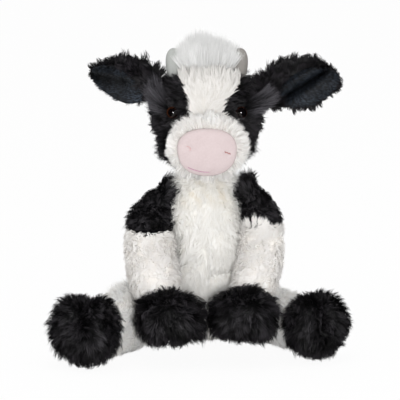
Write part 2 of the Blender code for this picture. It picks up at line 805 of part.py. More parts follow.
def nose_point(x, height):
    """A point on the nose pad's face for a stitch that lies on it."""
    depth = muzzle_surface_y(x, height, NOSE_PROUD)
    slope_x = (muzzle_surface_y(x + STITCH_RADIUS, height, NOSE_PROUD) - depth) / STITCH_RADIUS
    slope_z = (muzzle_surface_y(x, height + STITCH_RADIUS, NOSE_PROUD) - depth) / STITCH_RADIUS
    outwards = Vector((slope_x, -1, slope_z)).normalized()
    return Vector((x, depth, height)) + outwards * (STITCH_RADIUS + CLEARANCE)


def stitch(name, points, body):
    """A raised line of embroidery through points."""
    curve = bpy.data.curves.new(name, "CURVE")
    curve.dimensions = "3D"
    curve.bevel_depth = STITCH_RADIUS
    curve.bevel_resolution = 1
    curve.use_fill_caps = True
    line = curve.splines.new("POLY")
    line.points.add(len(points) - 1)
    for place, point in zip(line.points, points):
        place.co = (*point, 1)
    made = bpy.data.objects.new(name, curve)
    bpy.context.collection.objects.link(made)
    curve.materials.append(rose_thread())
    made.parent = body
    made.matrix_parent_inverse = Matrix.Translation(-body.location)
    return made


def make_stitches(body):
    for side, sign in SIDES.items():
        middle = MUZZLE.x + sign * NOSTRIL_APART
        height = MUZZLE.z - NOSE_DROP + NOSTRIL_RISE
        half = sign * NOSTRIL_LENGTH / 2
        points = (nose_point(middle - half, height + NOSTRIL_SLOPE), nose_point(middle, height),
                  nose_point(middle + half, height - NOSTRIL_SLOPE))
        stitch(f"nostril_{side}", points, body)
    points = []
    for number in range(MOUTH_POINTS):
        along = 2 * number / (MOUTH_POINTS - 1) - 1
        x = MUZZLE.x + MOUTH_HALF_WIDTH * along
        drop = NOSE_DROP + MOUTH_DROP + MOUTH_SAG * (1 - along * along)
        points.append(nose_point(x, MUZZLE.z - drop))
    stitch("mouth_stitch", points, body)


def horn_form(side):
    sign = SIDES[side]
    y = HEAD.y + HORN_BACK
    foot = Vector((HEAD.x + sign * HORN_APART, y, HEAD_TOP - HORN_BURIED))
    top = foot + Vector((sign * HORN_SPLAY, 0, HORN_BURIED + HORN_HEIGHT))
    return Form((foot, (foot + top) / 2, top), [HORN_RADIUS] * 3, [HORN_RADIUS] * 3, (1, 0, 0),
                HORN_FULLNESS)


def make_horns(body):
    for side in SIDES:
        form = horn_form(side)
        skin = form.build(f"horn_{side}", HORN_SIDES)
        cut(skin, form.build(f"horn_inside_{side}", HORN_SIDES, -VELOUR_WALL),
            head_keep_out(f"horn_head_{side}"))
        finish(skin, grey_velour(), body)
        filling = form.build(f"horn_filling_{side}", HORN_SIDES, -VELOUR_WALL - CLEARANCE)
        cut(filling, head_keep_out(f"horn_filling_head_{side}"))
        finish(filling, polyester_filling(), body)


def make_topknot(body):
    foot = Vector((HEAD.x, HEAD.y - HORN_BACK, HEAD_TOP - TOPKNOT_BURIED))
    top = foot + Vector((0, 0, TOPKNOT_BURIED + TOPKNOT_HEIGHT))
    form = Form((foot, (foot + top) / 2, top), [TOPKNOT_HALF_WIDTH] * 3, [TOPKNOT_HALF_DEPTH] * 3,
                (1, 0, 0), ELLIPSOID)
    hair = form.build("topknot", TOPKNOT_SIDES)
    cut(hair, head_keep_out("topknot_head"))
    for side in SIDES:
        cut(hair, horn_form(side).build(f"topknot_horn_{side}", HORN_SIDES, CLEARANCE))
    finish(hair, long_grey_hair(), body)


def make_ear(side, body):
    form = ear_form(side, EAR_THICKNESS)
    fur = form.build(f"ear_{side}", EAR_SIDES)
    front = Vector((0, -EAR_THICKNESS, 0))
    hollow_form = ear_form(side, LINING_SINK, LINING_SHARE)
    hollow_form.spine = [point + front for point in hollow_form.spine]
    hollow_form.shape = None
    hollow = hollow_form.build(f"ear_hollow_{side}", EAR_SIDES, CLEARANCE)
    cut(fur, hollow)
    finish(fur, black_pile(), body)

    lining = hollow_form.build(f"ear_lining_{side}", EAR_SIDES)
    ahead = hollow_form.spine[0].y
    reach = TORSO_HEIGHT
    cut(lining, box(f"lining_front_{side}", (-reach, ahead - OVERRUN, 0),
                    (reach, ahead + LINING_SINK - LINING_THICKNESS - CLEARANCE, 2 * reach)))
    finish(lining, slate_velour(), body)


def tuft_form(side):
    form = head_form()
    sign = SIDES[side]
    points = []
    for out, rise in ((TUFT_TOP_OUT_SHARE, TUFT_TOP_RISE_SHARE),
                      (TUFT_FOOT_OUT_SHARE, TUFT_FOOT_RISE_SHARE)):
        x = HEAD.x + sign * HEAD_HALF_WIDTH * out
        height = HEAD.z + HEAD_HALF_HEIGHT * rise
        points.append(Vector((x, surface_y(form, x, height, CLEARANCE), height)))
    middle = (points[0] + points[1]) / 2
    way = (points[1] - points[0]).normalized() * TUFT_LENGTH / 2
    return Form((middle - way, middle, middle + way), [TUFT_HALF_WIDTH] * 3,
                [TUFT_HALF_THICKNESS] * 3, (middle - HEAD).cross(way), TUFT_FULLNESS)


def make_ear_tufts(body):
    """Locks of long hair, sewn in front of each ear and lying on the head."""
    for side in SIDES:
        hair = tuft_form(side).build(f"ear_tuft_{side}", TUFT_SIDES)
        cut(hair, head_keep_out(f"tuft_head_{side}"))
        finish(hair, long_dark_hair(), body)


def make_arm(side, body):
    form = arm_form(side)
    hoof = hoof_form(side)
    inside = form.build(f"arm_inside_{side}", INNER_SIDES, -PILE_WALL)
    torso = torso_keep_out(f"arm_torso_{side}")
    reach = TORSO_HEIGHT
    seam = SLEEVE_TOP[side]
    flat = SIDES[side] * (ARMS[side]["face"] + CLEARANCE)
    beside_torso = box(f"beside_torso_{side}",
                       (min(flat, -SIDES[side] * reach), -reach, SHOULDER_HEIGHT - SHOULDER_SOCKET_RADIUS),
                       (max(flat, -SIDES[side] * reach), reach, 2 * reach))

    shoulder = form.build(f"shoulder_{side}", ARM_SIDES)
    cut(shoulder, inside, torso, beside_torso,
        box(f"below_shoulder_{side}", (-reach, -reach, -OVERRUN), (reach, reach, seam + CLEARANCE)))
    finish(shoulder, black_pile(), body)

    sleeve = form.build(f"sleeve_{side}", ARM_SIDES)
    cut(sleeve, inside, torso, beside_torso, hoof.build(f"sleeve_hoof_{side}", HOOF_SIDES, CLEARANCE),
        leg_form(side).build(f"sleeve_leg_{side}", LEG_SIDES, CLEARANCE + MOTION_GAP),
        box(f"above_sleeve_{side}", (-reach, -reach, seam), (reach, reach, reach)))
    finish(sleeve, white_pile(), body)

    skin = hoof.build(f"front_hoof_{side}", HOOF_SIDES)
    cut(skin, hoof.build(f"hoof_inside_{side}", INNER_SIDES, -PILE_WALL), inside)
    finish(skin, black_pile(), body)

    filling = form.build(f"arm_filling_{side}", INNER_SIDES, -PILE_WALL - CLEARANCE)
    join(filling, hoof.build(f"hoof_filling_{side}", INNER_SIDES, -PILE_WALL - CLEARANCE))
    cut(filling, torso, beside_torso)
    finish(filling, polyester_filling(), body)


def make_leg(side, body):
    form = leg_form(side)
    foot = foot_form(side)
    inside = form.build(f"leg_inside_{side}", INNER_SIDES, -PILE_WALL)
    torso = torso_keep_out(f"leg_torso_{side}")

    leg = form.build(f"leg_{side}", LEG_SIDES)
    cut(leg, inside, torso, foot.build(f"leg_foot_{side}", FOOT_SIDES, CLEARANCE),
        below_floor(f"leg_floor_{side}"))
    finish(leg, white_pile(), body)

    skin = foot.build(f"rear_hoof_{side}", FOOT_SIDES)
    cut(skin, foot.build(f"foot_inside_{side}", INNER_SIDES, -PILE_WALL), inside,
        below_floor(f"foot_floor_{side}"))
    finish(skin, black_pile(), body)

    filling = form.build(f"leg_filling_{side}", INNER_SIDES, -PILE_WALL - CLEARANCE)
    join(filling, foot.build(f"foot_filling_{side}", INNER_SIDES, -PILE_WALL - CLEARANCE))
    cut(filling, torso)
    finish(filling, polyester_filling(), body)


def main():
    clear_scene()
    make_torso()
    head = joint_empty("head_joint", NECK)
    make_head(head)
    make_muzzle(head)
    make_stitches(head)
    make_horns(head)
    make_topknot(head)
    make_ear_tufts(head)
    for side in SIDES:
        make_ear(side, joint_empty(f"ear_joint_{side}", ear_hinge(side)))
        make_arm(side, joint_empty(f"shoulder_joint_{side}", shoulder_hinge(side)))
        make_leg(side, joint_empty(f"hip_joint_{side}", hip_place(side)))


main()
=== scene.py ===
"""A seated plush cow in black and white pile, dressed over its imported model.

Every pile panel is a padded backing with its hairs on it: closed, tapered and bent spikes that lean
the way the pile is brushed and gather in locks. Sizes are in millimetres until they reach a mesh, z
is the height above the floor, the cow looks towards -y, and left and right are its own.
"""

import math
from dataclasses import dataclass, replace

import bmesh
import bpy
import numpy as np
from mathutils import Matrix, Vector
from mathutils.kdtree import KDTree


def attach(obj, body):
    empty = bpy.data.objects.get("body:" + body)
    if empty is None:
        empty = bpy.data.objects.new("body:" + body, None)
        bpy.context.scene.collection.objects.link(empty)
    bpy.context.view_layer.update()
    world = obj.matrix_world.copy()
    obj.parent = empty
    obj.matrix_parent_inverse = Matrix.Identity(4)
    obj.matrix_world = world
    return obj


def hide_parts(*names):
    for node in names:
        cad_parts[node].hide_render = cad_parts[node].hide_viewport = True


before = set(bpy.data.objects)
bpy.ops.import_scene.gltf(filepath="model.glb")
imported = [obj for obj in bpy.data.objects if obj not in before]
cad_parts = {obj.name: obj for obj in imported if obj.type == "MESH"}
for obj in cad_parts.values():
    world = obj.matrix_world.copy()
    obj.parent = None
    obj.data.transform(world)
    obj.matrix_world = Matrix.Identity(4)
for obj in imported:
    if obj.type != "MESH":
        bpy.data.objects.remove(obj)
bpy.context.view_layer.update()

MM = 0.001
SIGN = {"left": 1, "right": -1}
ACROSS = np.array([1.0, 0, 0])
UP = np.array([0, 0, 1.0])
FACE_X = 1.5  # the face's middle, a little to the cow's left of the body's
FLOOR_GAP = 0.4  # no hair reaches lower than this
SEAT_CUT = 2  # the cloth of the seat and legs is cut flat at this height
BARE_UNDER = 4  # and grows no pile below this one


# Small helpers

def linear(colour):
    """An sRGB hex colour as linear values."""
    values = [int(colour[place:place + 2], 16) / 255 for place in (1, 3, 5)]
    return np.array([value / 12.92 if value <= 0.04045 else ((value + 0.055) / 1.055) ** 2.4
                     for value in values])


def rgba(colour):
    return (*linear(colour), 1)


def unit(vectors):
    return vectors / np.maximum(np.linalg.norm(vectors, axis=-1, keepdims=True), 1e-9)


def dot(first, second):
    return (first * second).sum(axis=-1, keepdims=True)


def columns(x, y, z):
    """Places or ways from their coordinates, each of them an array or one number."""
    return np.stack(np.broadcast_arrays(x, y, z), axis=1)


def ramp(values, start, end):
    """A smooth step from 0 where the values reach start to 1 where they reach end."""
    share = np.clip((values - start) / (end - start), 0, 1)
    return share * share * (3 - 2 * share)


def bell(values, width):
    """1 where the values are 0, and nearly 0 at twice the width."""
    return np.exp(-(values / width) ** 2)


def drift(place, size, rng):
    """A smooth field between about -1 and 1 that changes over size mm."""
    waves = unit(rng.normal(0, 1, (6, 3))) * (2 * math.pi / size) * rng.uniform(0.6, 1.5, (6, 1))
    return np.sin(place @ waves.T + rng.uniform(0, 2 * math.pi, 6)).mean(axis=1) * 1.8


def smooth_values(values, share):
    """A smooth curve through evenly spread values, read at shares of it."""
    values = np.asarray(values, float)
    last = len(values) - 1
    place = np.clip(share, 0, 1) * last
    first = np.minimum(place.astype(int), last - 1)
    rest = place - first
    if values.ndim > 1:
        rest = rest[:, None]
    padded = np.concatenate([[2 * values[0] - values[1]], values, [2 * values[-1] - values[-2]]])
    before, start, end, after = (padded[first + step] for step in range(4))
    slope_in = (end - before) / 2
    slope_out = (after - start) / 2
    square = rest ** 2
    cube = rest ** 3
    return (start * (2 * cube - 3 * square + 1) + slope_in * (cube - 2 * square + rest)
            + end * (3 * square - 2 * cube) + slope_out * (cube - square))


# Surfaces: points and triangles

def face_cross(points, faces):
    """Each triangle's normal, twice as long as its area."""
    corners = points[faces]
    return np.cross(corners[:, 1] - corners[:, 0], corners[:, 2] - corners[:, 0])


def areas_of(surface):
    return np.linalg.norm(face_cross(*surface), axis=1) / 2


def vertex_normals(points, faces):
    flat = face_cross(points, faces)
    normals = np.zeros_like(points)
    for corner in range(3):
        np.add.at(normals, faces[:, corner], flat)
    return unit(normals)


def outward(points, faces):
    """Turns a closed surface's faces outwards."""
    corners = points[faces]
    volume = np.einsum("ij,ij->i", corners[:, 0], np.cross(corners[:, 1], corners[:, 2])).sum()
    return points, (faces if volume > 0 else faces[:, ::-1])


def tube(rings, first, last):
    """A closed surface through rings of points, with one point in the middle of each end."""
    rings = np.array(rings)
    count, around = rings.shape[:2]
    low = np.arange((count - 1) * around).reshape(-1, around)
    after = np.roll(low, -1, axis=1)
    walls = np.stack([low, after, after + around, low, after + around, low + around], axis=-1)
    number = np.arange(around)
    after = np.roll(number, -1)
    foot = (count - 1) * around
    start = np.full(around, count * around)
    ends = np.stack([start, after, number, start + 1, foot + number, foot + after], axis=-1)
    return outward(np.concatenate([rings.reshape(-1, 3), [first, last]]),
                   np.concatenate([walls.reshape(-1, 3), ends.reshape(-1, 3)]))


def joined(*parts):
    """Several meshes as one: points, triangles, and what else each of them has."""
    starts = np.cumsum([0] + [len(part[0]) for part in parts[:-1]])
    points, faces, *rest = zip(*parts)
    faces = [own + start for own, start in zip(faces, starts)]
    return [np.concatenate(arrays) for arrays in (points, faces, *rest)]


def cut_flat(surface, height, way):
    """Cuts a closed surface level at a height, keeps what way, 1 for up, points to, and caps it."""
    points, faces = surface
    mesh = bmesh.new()
    corners = [mesh.verts.new(point) for point in points]
    for face in faces:
        mesh.faces.new([corners[number] for number in face])
    bmesh.ops.bisect_plane(mesh, geom=mesh.verts[:] + mesh.edges[:] + mesh.faces[:],
                           plane_co=(0, 0, height), plane_no=(0, 0, -way), clear_outer=True)
    rim = [edge for edge in mesh.edges if edge.is_boundary]
    bmesh.ops.holes_fill(mesh, edges=rim, sides=0)
    bmesh.ops.triangulate(mesh, faces=mesh.faces[:])
    bmesh.ops.recalc_face_normals(mesh, faces=mesh.faces[:])
    mesh.verts.index_update()
    points = np.array([vert.co[:] for vert in mesh.verts])
    faces = np.array([[vert.index for vert in face.verts] for face in mesh.faces])
    mesh.free()
    return outward(points, faces)


def shell(surface, mask, thickness):
    """A closed sheet over the faces whose middles the mask keeps."""
    points, faces = surface
    faces = faces[mask(points[faces].mean(axis=1))]
    used, index = np.unique(faces, return_inverse=True)
    index = index.reshape(-1, 3)
    low = points[used]
    high = low + vertex_normals(*surface)[used] * thickness
    count = len(used)
    edges = np.concatenate([index[:, [0, 1]], index[:, [1, 2]], index[:, [2, 0]]]).tolist()
    pairs = {tuple(edge) for edge in edges}
    start, end = np.array([edge for edge in edges if (edge[1], edge[0]) not in pairs]).T
    walls = np.concatenate([np.stack([start, end + count, start + count], axis=1),
                            np.stack([start, end, end + count], axis=1)])
    return (np.concatenate([low, high]),
            np.concatenate([index[:, ::-1], index + count, walls]))


class Stuffed:
    """A stuffed shape: ellipses along a spine, rounded off at both ends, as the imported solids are.

    across and through are the half sizes along the spine, side is the way that across is measured
    in, a higher fullness gives squarer ends, and shape is a last change to the points.
    """

    def __init__(self, spine, across, through, side, fullness, shape=None):
        self.spine = np.array(spine, float)
        self.across = np.array(across, float)
        self.through = np.array(through, float)
        self.side = np.array(side, float)
        self.fullness = fullness
        self.shape = shape

    def axes(self, share):
        low = smooth_values(self.spine, share - 0.02)
        high = smooth_values(self.spine, share + 0.02)
        tangent = unit(high - low)
        side = unit(self.side - tangent * (tangent @ self.side)[:, None])
        return tangent, side, np.cross(tangent, side)

    def halves(self, share, grow):
        return smooth_values(self.across, share) + grow, smooth_values(self.through, share) + grow

    def points(self, share, angle, grow=0.0):
        along = 2 * share - 1
        round_off = np.maximum(1 - abs(along) ** self.fullness, 0) ** (1 / self.fullness)
        tangent, side, front = self.axes(share)
        middle = smooth_values(self.spine, share) + tangent * (grow * along)[:, None]
        across, through = (half * round_off for half in self.halves(share, grow))
        made = (middle + side * (across * np.cos(angle))[:, None]
                + front * (through * np.sin(angle))[:, None])
        return self.shape(made, grow) if self.shape else made

    def surface(self, around, along, grow=0.0):
        """The closed surface, grown by grow."""
        steps = (1 - np.cos(math.pi * np.arange(1, along) / along)) / 2
        angles = 2 * math.pi * np.arange(around) / around
        share = np.concatenate([[0.0], np.repeat(steps, around), [1.0]])
        angle = np.concatenate([[0.0], np.tile(angles, along - 1), [0.0]])
        points = self.points(share, angle, grow)
        number = np.arange(around)
        after = np.roll(number, -1)
        foot = 1 + (along - 2) * around
        ends = np.stack([np.zeros(around, int), 1 + after, 1 + number,
                         np.full(around, len(points) - 1), foot + number, foot + after], axis=-1)
        low = 1 + np.arange((along - 2) * around).reshape(-1, around)
        right = np.roll(low, -1, axis=1)
        quads = np.stack([low, right, right + around, low + around], axis=-1).reshape(-1, 4)
        return outward(points, np.concatenate([ends.reshape(-1, 3), quads[:, [0, 1, 2]],
                                               quads[:, [0, 2, 3]]]))

    def reach(self, points, grow=0.0):
        """Below 1 inside the shape grown by grow, and above 1 outside it."""
        shares = np.linspace(0, 1, 25)
        centres = smooth_values(self.spine, shares)
        apart = ((points[:, None] - centres[None]) ** 2).sum(axis=-1)
        nearest = apart.argmin(axis=1)
        share = shares[nearest]
        tangent, side, front = self.axes(share)
        offset = points - centres[nearest]
        length = np.linalg.norm(np.diff(centres, axis=0), axis=1).sum()
        share = share + dot(offset, tangent)[:, 0] / length
        across, through = self.halves(share, grow)
        radial = np.hypot(dot(offset, side)[:, 0] / across, dot(offset, front)[:, 0] / through)
        along = abs(2 * share - 1) * (length / 2) / (length / 2 + grow)
        return (radial ** self.fullness + along ** self.fullness) ** (1 / self.fullness)


def clear_of(*forms):
    """True where a place is outside every form; each comes with how far it is grown."""
    def keep(points):
        kept = np.ones(len(points), bool)
        for form, grow in forms:
            kept &= form.reach(points, grow) > 1
        return kept
    return keep


# Meshes

def mesh_object(name, points, faces, normals=None, colours=None):
    """One mesh from arrays: points in mm, triangles, their corners' normals, and point colours."""
    mesh = bpy.data.meshes.new(name)
    mesh.vertices.add(len(points))
    mesh.vertices.foreach_set("co", (points * MM).astype(np.float32).ravel())
    mesh.loops.add(faces.size)
    mesh.loops.foreach_set("vertex_index", faces.astype(np.int32).ravel())
    mesh.polygons.add(len(faces))
    mesh.polygons.foreach_set("loop_start", np.arange(len(faces), dtype=np.int32) * 3)
    mesh.update(calc_edges=True)
    mesh.shade_smooth()
    if colours is not None:
        layer = mesh.color_attributes.new("pile", "FLOAT_COLOR", "POINT")
        values = np.concatenate([colours, np.ones((len(colours), 1))], axis=1)
        layer.data.foreach_set("color", values.astype(np.float32).ravel())
    if normals is not None:
        mesh.normals_split_custom_set(normals.astype(np.float32).reshape(-1, 3))
    made = bpy.data.objects.new(name, mesh)
    bpy.context.scene.collection.objects.link(made)
    return made


def dress(piece, material, body, slot, nodes):
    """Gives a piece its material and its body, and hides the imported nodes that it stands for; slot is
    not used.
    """
    piece.data.materials.append(material)
    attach(piece, body)
    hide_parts(*nodes)


# Materials

def new_material(name, **settings):
    """A material, its nodes and its shader, whose inputs get the settings."""
    made = bpy.data.materials.new(name)
    made.use_nodes = True
    shader = made.node_tree.nodes["Principled BSDF"]
    for key, value in settings.items():
        shader.inputs[key.replace("_", " ")].default_value = value
    return made, made.node_tree, shader


def node(tree, kind, inputs=(), **settings):
    """Adds a node: inputs are sources or values by socket, and settings the node's own."""
    made = tree.nodes.new(kind)
    for key, value in settings.items():
        setattr(made, key, value)
    for socket, source in dict(inputs).items():
        if isinstance(source, bpy.types.NodeSocket):
            tree.links.new(source, made.inputs[socket])
        else:
            made.inputs[socket].default_value = source
    return made


def pile_fabric(name, roughness, specular):
    """Knitted polyester pile: each hair's colour is its own, painted deeper at the root than at the tip,
    as painted shade down in the pile and painted sheen at the tips.
    """
    made, tree, shader = new_material(name, Roughness=roughness, Specular_IOR_Level=specular)
    colour = node(tree, "ShaderNodeVertexColor", layer_name="pile")
    tree.links.new(colour.outputs["Color"], shader.inputs["Base Color"])
    return made


def velour(name, pale, deep):
    """Clipped velour: a dense nap under 1 mm deep, which the eye reads as a fine soft grain."""
    made, tree, shader = new_material(name, Roughness=0.9, Specular_IOR_Level=0.2)
    where = node(tree, "ShaderNodeTexCoord").outputs["Object"]
    grain, brushed = (node(tree, "ShaderNodeTexNoise",
                           {"Vector": where, "Scale": 1 / (size * MM), "Detail": detail}).outputs["Fac"]
                      for size, detail in ((1.4, 4.0), (9, 3.0)))
    mixed = node(tree, "ShaderNodeMix", {0: brushed, 6: rgba(deep), 7: rgba(pale)}, data_type="RGBA")
    fine = node(tree, "ShaderNodeMix", {0: grain, 6: mixed.outputs[2], 7: rgba(pale)},
                data_type="RGBA")
    bump = node(tree, "ShaderNodeBump", {"Height": grain, "Strength": 0.35, "Distance": 0.3 * MM})
    tree.links.new(fine.outputs[2], shader.inputs["Base Color"])
    tree.links.new(bump.outputs["Normal"], shader.inputs["Normal"])
    return made


def rayon(name, colour):
    """Embroidery thread: smooth rayon, which gives its strands a soft sheen."""
    return new_material(name, Base_Color=rgba(colour), Roughness=0.5, Sheen_Weight=0.3)[0]


# Black pile shines a little at its tips, and brushed white pile not at all
black_fabric = pile_fabric("black_polyester_pile", 0.5, 0.25)
white_fabric = pile_fabric("white_polyester_pile", 0.9, 0.0)
long_fabric = pile_fabric("long_combed_hair", 0.6, 0.15)


# Hairs

@dataclass
class Pile:
    """How a fabric's pile grows: lengths in mm, angles in radians, hairs for each square mm.

    density is of bent hairs that gather in locks, and under of a straight undercoat, shorter and
    finer. dark is how much the tone varies, rise the angle off the cloth, lock a lock's radius, pull
    how far hairs gather to its leader, swirl how far locks turn, uneven how much their lengths
    differ, and soften how far the flat sides are shaded as the cloth is.
    """

    root: str
    tip: str
    dark: float
    density: float
    under: float
    length: float
    width: float
    rise: float
    lock: float
    pull: float
    swirl: float
    uneven: float = 0.18
    soften: float = 0.5
    fabric: bpy.types.Material = black_fabric
    slot: str = "black_pile"


BLACK = Pile("#050506", "#2A282B", dark=0.95, density=0.6, under=0.9, length=9.0, width=0.32,
             rise=0.7, lock=1.9, pull=0.5, swirl=0.7, soften=0.4)
SHORT_BLACK = replace(BLACK, root="#070708", tip="#2D2B2E", dark=0.9, under=0.8, length=8.6, lock=1.7)
# The shoulders' black is the same pile painted paler at the tips, as painted light on the shoulders.
SHOULDER_BLACK_PAINTED_LIGHT = replace(SHORT_BLACK, root="#08080A", tip="#3A383B", dark=0.7, lock=1.8)
EAR_BLACK = Pile("#08080A", "#242125", dark=0.6, density=0.7, under=0.9, length=8.0, width=0.33,
                 rise=0.6, lock=2.3, pull=0.66, swirl=0.5)
EAR_NAP = Pile("#07080B", "#363D47", dark=0.4, density=1.6, under=2.4, length=3.4, width=0.26,
               rise=0.45, lock=1.6, pull=0.3, swirl=0.25, slot="slate_velour")
WHITE = Pile("#F3F1EC", "#FAF9F6", dark=0.03, density=0.55, under=0.85, length=8.5, width=0.44,
             rise=0.6, lock=1.9, pull=0.25, swirl=0.5, uneven=0.1, soften=0.9,
             fabric=white_fabric, slot="white_pile")
# The sleeves' white has paler roots than the body's, as painted light in the pile's shaded gaps, and the
# legs' white is paler still, as painted light on legs that lie in shade.
SLEEVE_WHITE_PAINTED_LIGHT = replace(WHITE, root="#F6F3EF", tip="#F9F7F5", density=0.6, under=1.3, length=7.2,
                       rise=0.42, lock=2.2, pull=0.15, swirl=0.9, uneven=0.08, soften=0.95)
LEG_WHITE_PAINTED_LIGHT = replace(SLEEVE_WHITE_PAINTED_LIGHT, root="#FBF9F6", tip="#FDFCFA")
# The blaze's white is the same fabric painted greyer, as painted shade on the brightly lit forehead.
BLAZE_WHITE_PAINTED_SHADE = replace(WHITE, root="#E8E5E0", tip="#EEECE9", density=0.7, under=1.1, length=8.0,
                      width=0.38, rise=0.55, lock=1.8, pull=0.2, swirl=0.35, soften=0.95)
# The muzzle's white is painted a little paler than the body's, as painted light.
MUZZLE_WHITE_PAINTED_LIGHT = replace(WHITE, root="#F6F3EF", tip="#FCFAF8", dark=0.04, density=0.8, under=1.0,
                       length=8.8, width=0.34, rise=0.55, pull=0.45, swirl=0.35, uneven=0.16,
                       soften=0.8)

# A blade's three corners: shares of its half width sideways and outwards
BLADE = ((1, 0.1), (0, -0.25), (-1, 0.1))
TURN_PATCH, TONE_PATCH = 22, 16  # over how many mm the way of the locks and the tone drift
ROOT_DEPTH = 0.6  # how deep a hair stands in the cloth


def scatter(surface, count, rng):
    """Places and normals spread evenly over a surface."""
    points, faces = surface
    areas = areas_of(surface)
    chosen = rng.choice(len(faces), count, p=areas / areas.sum())
    root = np.sqrt(rng.random(count))
    other = rng.random(count)
    weights = np.stack([1 - root, root * (1 - other), root * other], axis=1)[:, :, None]
    place = (points[faces[chosen]] * weights).sum(axis=1)
    normals = vertex_normals(points, faces)[faces[chosen]]
    return place, unit((normals * weights).sum(axis=1))


def nearest_of(places, centres):
    tree = KDTree(len(centres))
    for number, centre in enumerate(centres):
        tree.insert(centre, number)
    tree.balance()
    return np.array([tree.find(place)[1] for place in places])


def spikes(rows, widths, facing, soften, rng):
    """Closed three-sided blades through rows of points, from root to tip, flat sides outward.

    rows is (rings + 1, hairs, 3) and widths gives each ring's half width. soften turns the flat
    side's shading normals towards facing, the fabric's; the two under sides keep their own, so
    that light which gets under a hair comes out again.
    """
    rings, count = len(rows) - 1, len(rows[0])
    way = unit(rows[-1] - rows[0])
    side = unit(np.cross(way, facing + rng.normal(0, 0.25, (count, 3))))
    up = np.cross(side, way)
    tip = 3 * rings
    points = np.empty((count, tip + 1, 3))
    for corner, (wide, high) in enumerate(BLADE):
        for ring in range(rings):
            points[:, 3 * ring + corner] = rows[ring] + (side * wide + up * high) * widths[ring]
    points[:, tip] = rows[-1]
    pattern = [(0, 2, 1)]
    for foot in range(0, tip - 3, 3):
        for corner in range(3):
            after = (corner + 1) % 3
            pattern += [(foot + corner, foot + after, foot + 3 + after),
                        (foot + corner, foot + 3 + after, foot + 3 + corner)]
    foot = tip - 3
    pattern += [(foot + corner, foot + (corner + 1) % 3, tip) for corner in range(3)]
    outer = np.array([not any(number % 3 == 1 and number < tip for number in face)
                      for face in pattern])
    faces = np.array(pattern)[None] + (np.arange(count) * (tip + 1))[:, None, None]
    points, faces = points.reshape(-1, 3), faces.reshape(-1, 3)
    flat = unit(face_cross(points, faces)).reshape(count, -1, 1, 3)
    soft = unit(flat * (1 - soften) + facing[:, None, None] * soften)
    normals = np.where(outer[None, :, None, None], soft, flat)
    return points, faces, np.broadcast_to(normals, (count, len(pattern), 3, 3)).reshape(-1, 3, 3)


def ring_colours(tones):
    """The blades' point colours: each ring's three corners have its tone, and the tip the last."""
    return np.stack([tone for tone in tones[:-1] for corner in range(3)] + [tones[-1]],
                    axis=1).reshape(-1, 3)


def cloth_part(backing, colour):
    """A backing as a part to join with hairs."""
    return (*backing, vertex_normals(*backing)[backing[1]], np.tile(colour, (len(backing[0]), 1)))


def grow_pile(surface, pile, keep, comb, seed, tint=None, trim=None, stand=None):
    """Hairs on a surface where keep says so, brushed the way that comb points.

    tint changes the colours by place, trim gives each hair's length as a share, and stand how
    many radians more it rises.
    """
    rng = np.random.default_rng(seed)
    both = pile.density + pile.under
    place, normal = scatter(surface, int(areas_of(surface).sum() * both), rng)
    kept = keep(place)
    place, normal = place[kept], normal[kept]
    count = len(place)
    bent = int(count * pile.density / both)
    locks = max(int(count / both / (math.pi * pile.lock ** 2)), 1)
    leaders = rng.choice(bent, locks, replace=False)
    lead = nearest_of(place, place[leaders])
    turn = (rng.normal(0, pile.swirl * 0.6, locks)[lead] + rng.normal(0, 0.2, count)
            + pile.swirl * drift(place, TURN_PATCH, rng))
    scale = (1 + rng.normal(0, pile.uneven, locks))[lead] * rng.uniform(0.75, 1.08, count)
    length = pile.length * scale
    rise = pile.rise + rng.normal(0, 0.16, locks)[lead] + rng.normal(0, 0.1, count)
    if stand is not None:
        rise = rise + stand(place)
    if trim is not None:
        length = length * trim(place)
    rise = np.clip(rise, 0.15, 1.5)[:, None]
    turn, length = turn[:, None], length[:, None]
    flat = comb(place, normal)
    flat = unit(flat - normal * dot(flat, normal))
    turned = flat * np.cos(turn) + np.cross(normal, flat) * np.sin(turn)
    way = turned * np.cos(rise) + normal * np.sin(rise)
    tip = place + way * length
    first = leaders[lead]
    tip = tip * (1 - pile.pull) + (tip[first] + (place - place[first]) * 0.15) * pile.pull
    pull = 0.35 * pile.pull
    middle = place + unit(way + normal * 0.7) * length * 0.52
    middle = middle * (1 - pull) + (middle[first] + (place - place[first]) * 0.5) * pull
    widths = pile.width * rng.uniform(0.75, 1.2, count)[:, None]
    root = place - normal * ROOT_DEPTH
    tone = (1 + rng.normal(0, pile.dark, locks)[lead] * 0.4 + rng.normal(0, pile.dark * 0.45, count)
            + pile.dark * 0.9 * drift(place, TONE_PATCH, rng))
    tone = np.clip(tone, 0.25, 2.2)[:, None]
    # The deeper root colour is painted shade down in the pile, and the paler tip colour is painted sheen.
    root_tone, tip_tone = linear(pile.root) * tone, linear(pile.tip) * tone
    if tint is not None:
        root_tone, tip_tone = tint(place, root_tone), tint(place, tip_tone)
    middle_tone = root_tone * 0.35 + tip_tone * 0.65

    def blades(part, rows, half_widths, tones):
        made = spikes(np.stack(rows)[:, part], [width[part] for width in half_widths],
                      normal[part], pile.soften, rng)
        return (*made, np.clip(ring_colours([tone[part] for tone in tones]), 0, 0.97))

    coat = blades(slice(0, bent), [root, middle, tip], [widths, widths * 0.75],
                  [root_tone, middle_tone, tip_tone])
    low = place + (tip - place) * 0.82 + rng.normal(0, 0.5, (count, 3))
    undercoat = blades(slice(bent, count), [root, low], [widths * 0.85], [root_tone, middle_tone])
    return joined(coat, undercoat)


def plush(name, backing, hairs, pile, body, nodes):
    """A padded backing and its hairs as one piece; black cloth is painted a little deeper than the roots,
    as painted shade under the pile.
    """
    cloth = linear(pile.root) * (0.8 if pile.dark > 0.5 else 1.0)
    points, faces, normals, colours = joined(cloth_part(backing, cloth), hairs)
    points[:, 2] = np.maximum(points[:, 2], FLOOR_GAP)
    piece = mesh_object(name, points, faces, normals, colours)
    dress(piece, pile.fabric, body, pile.slot, nodes)


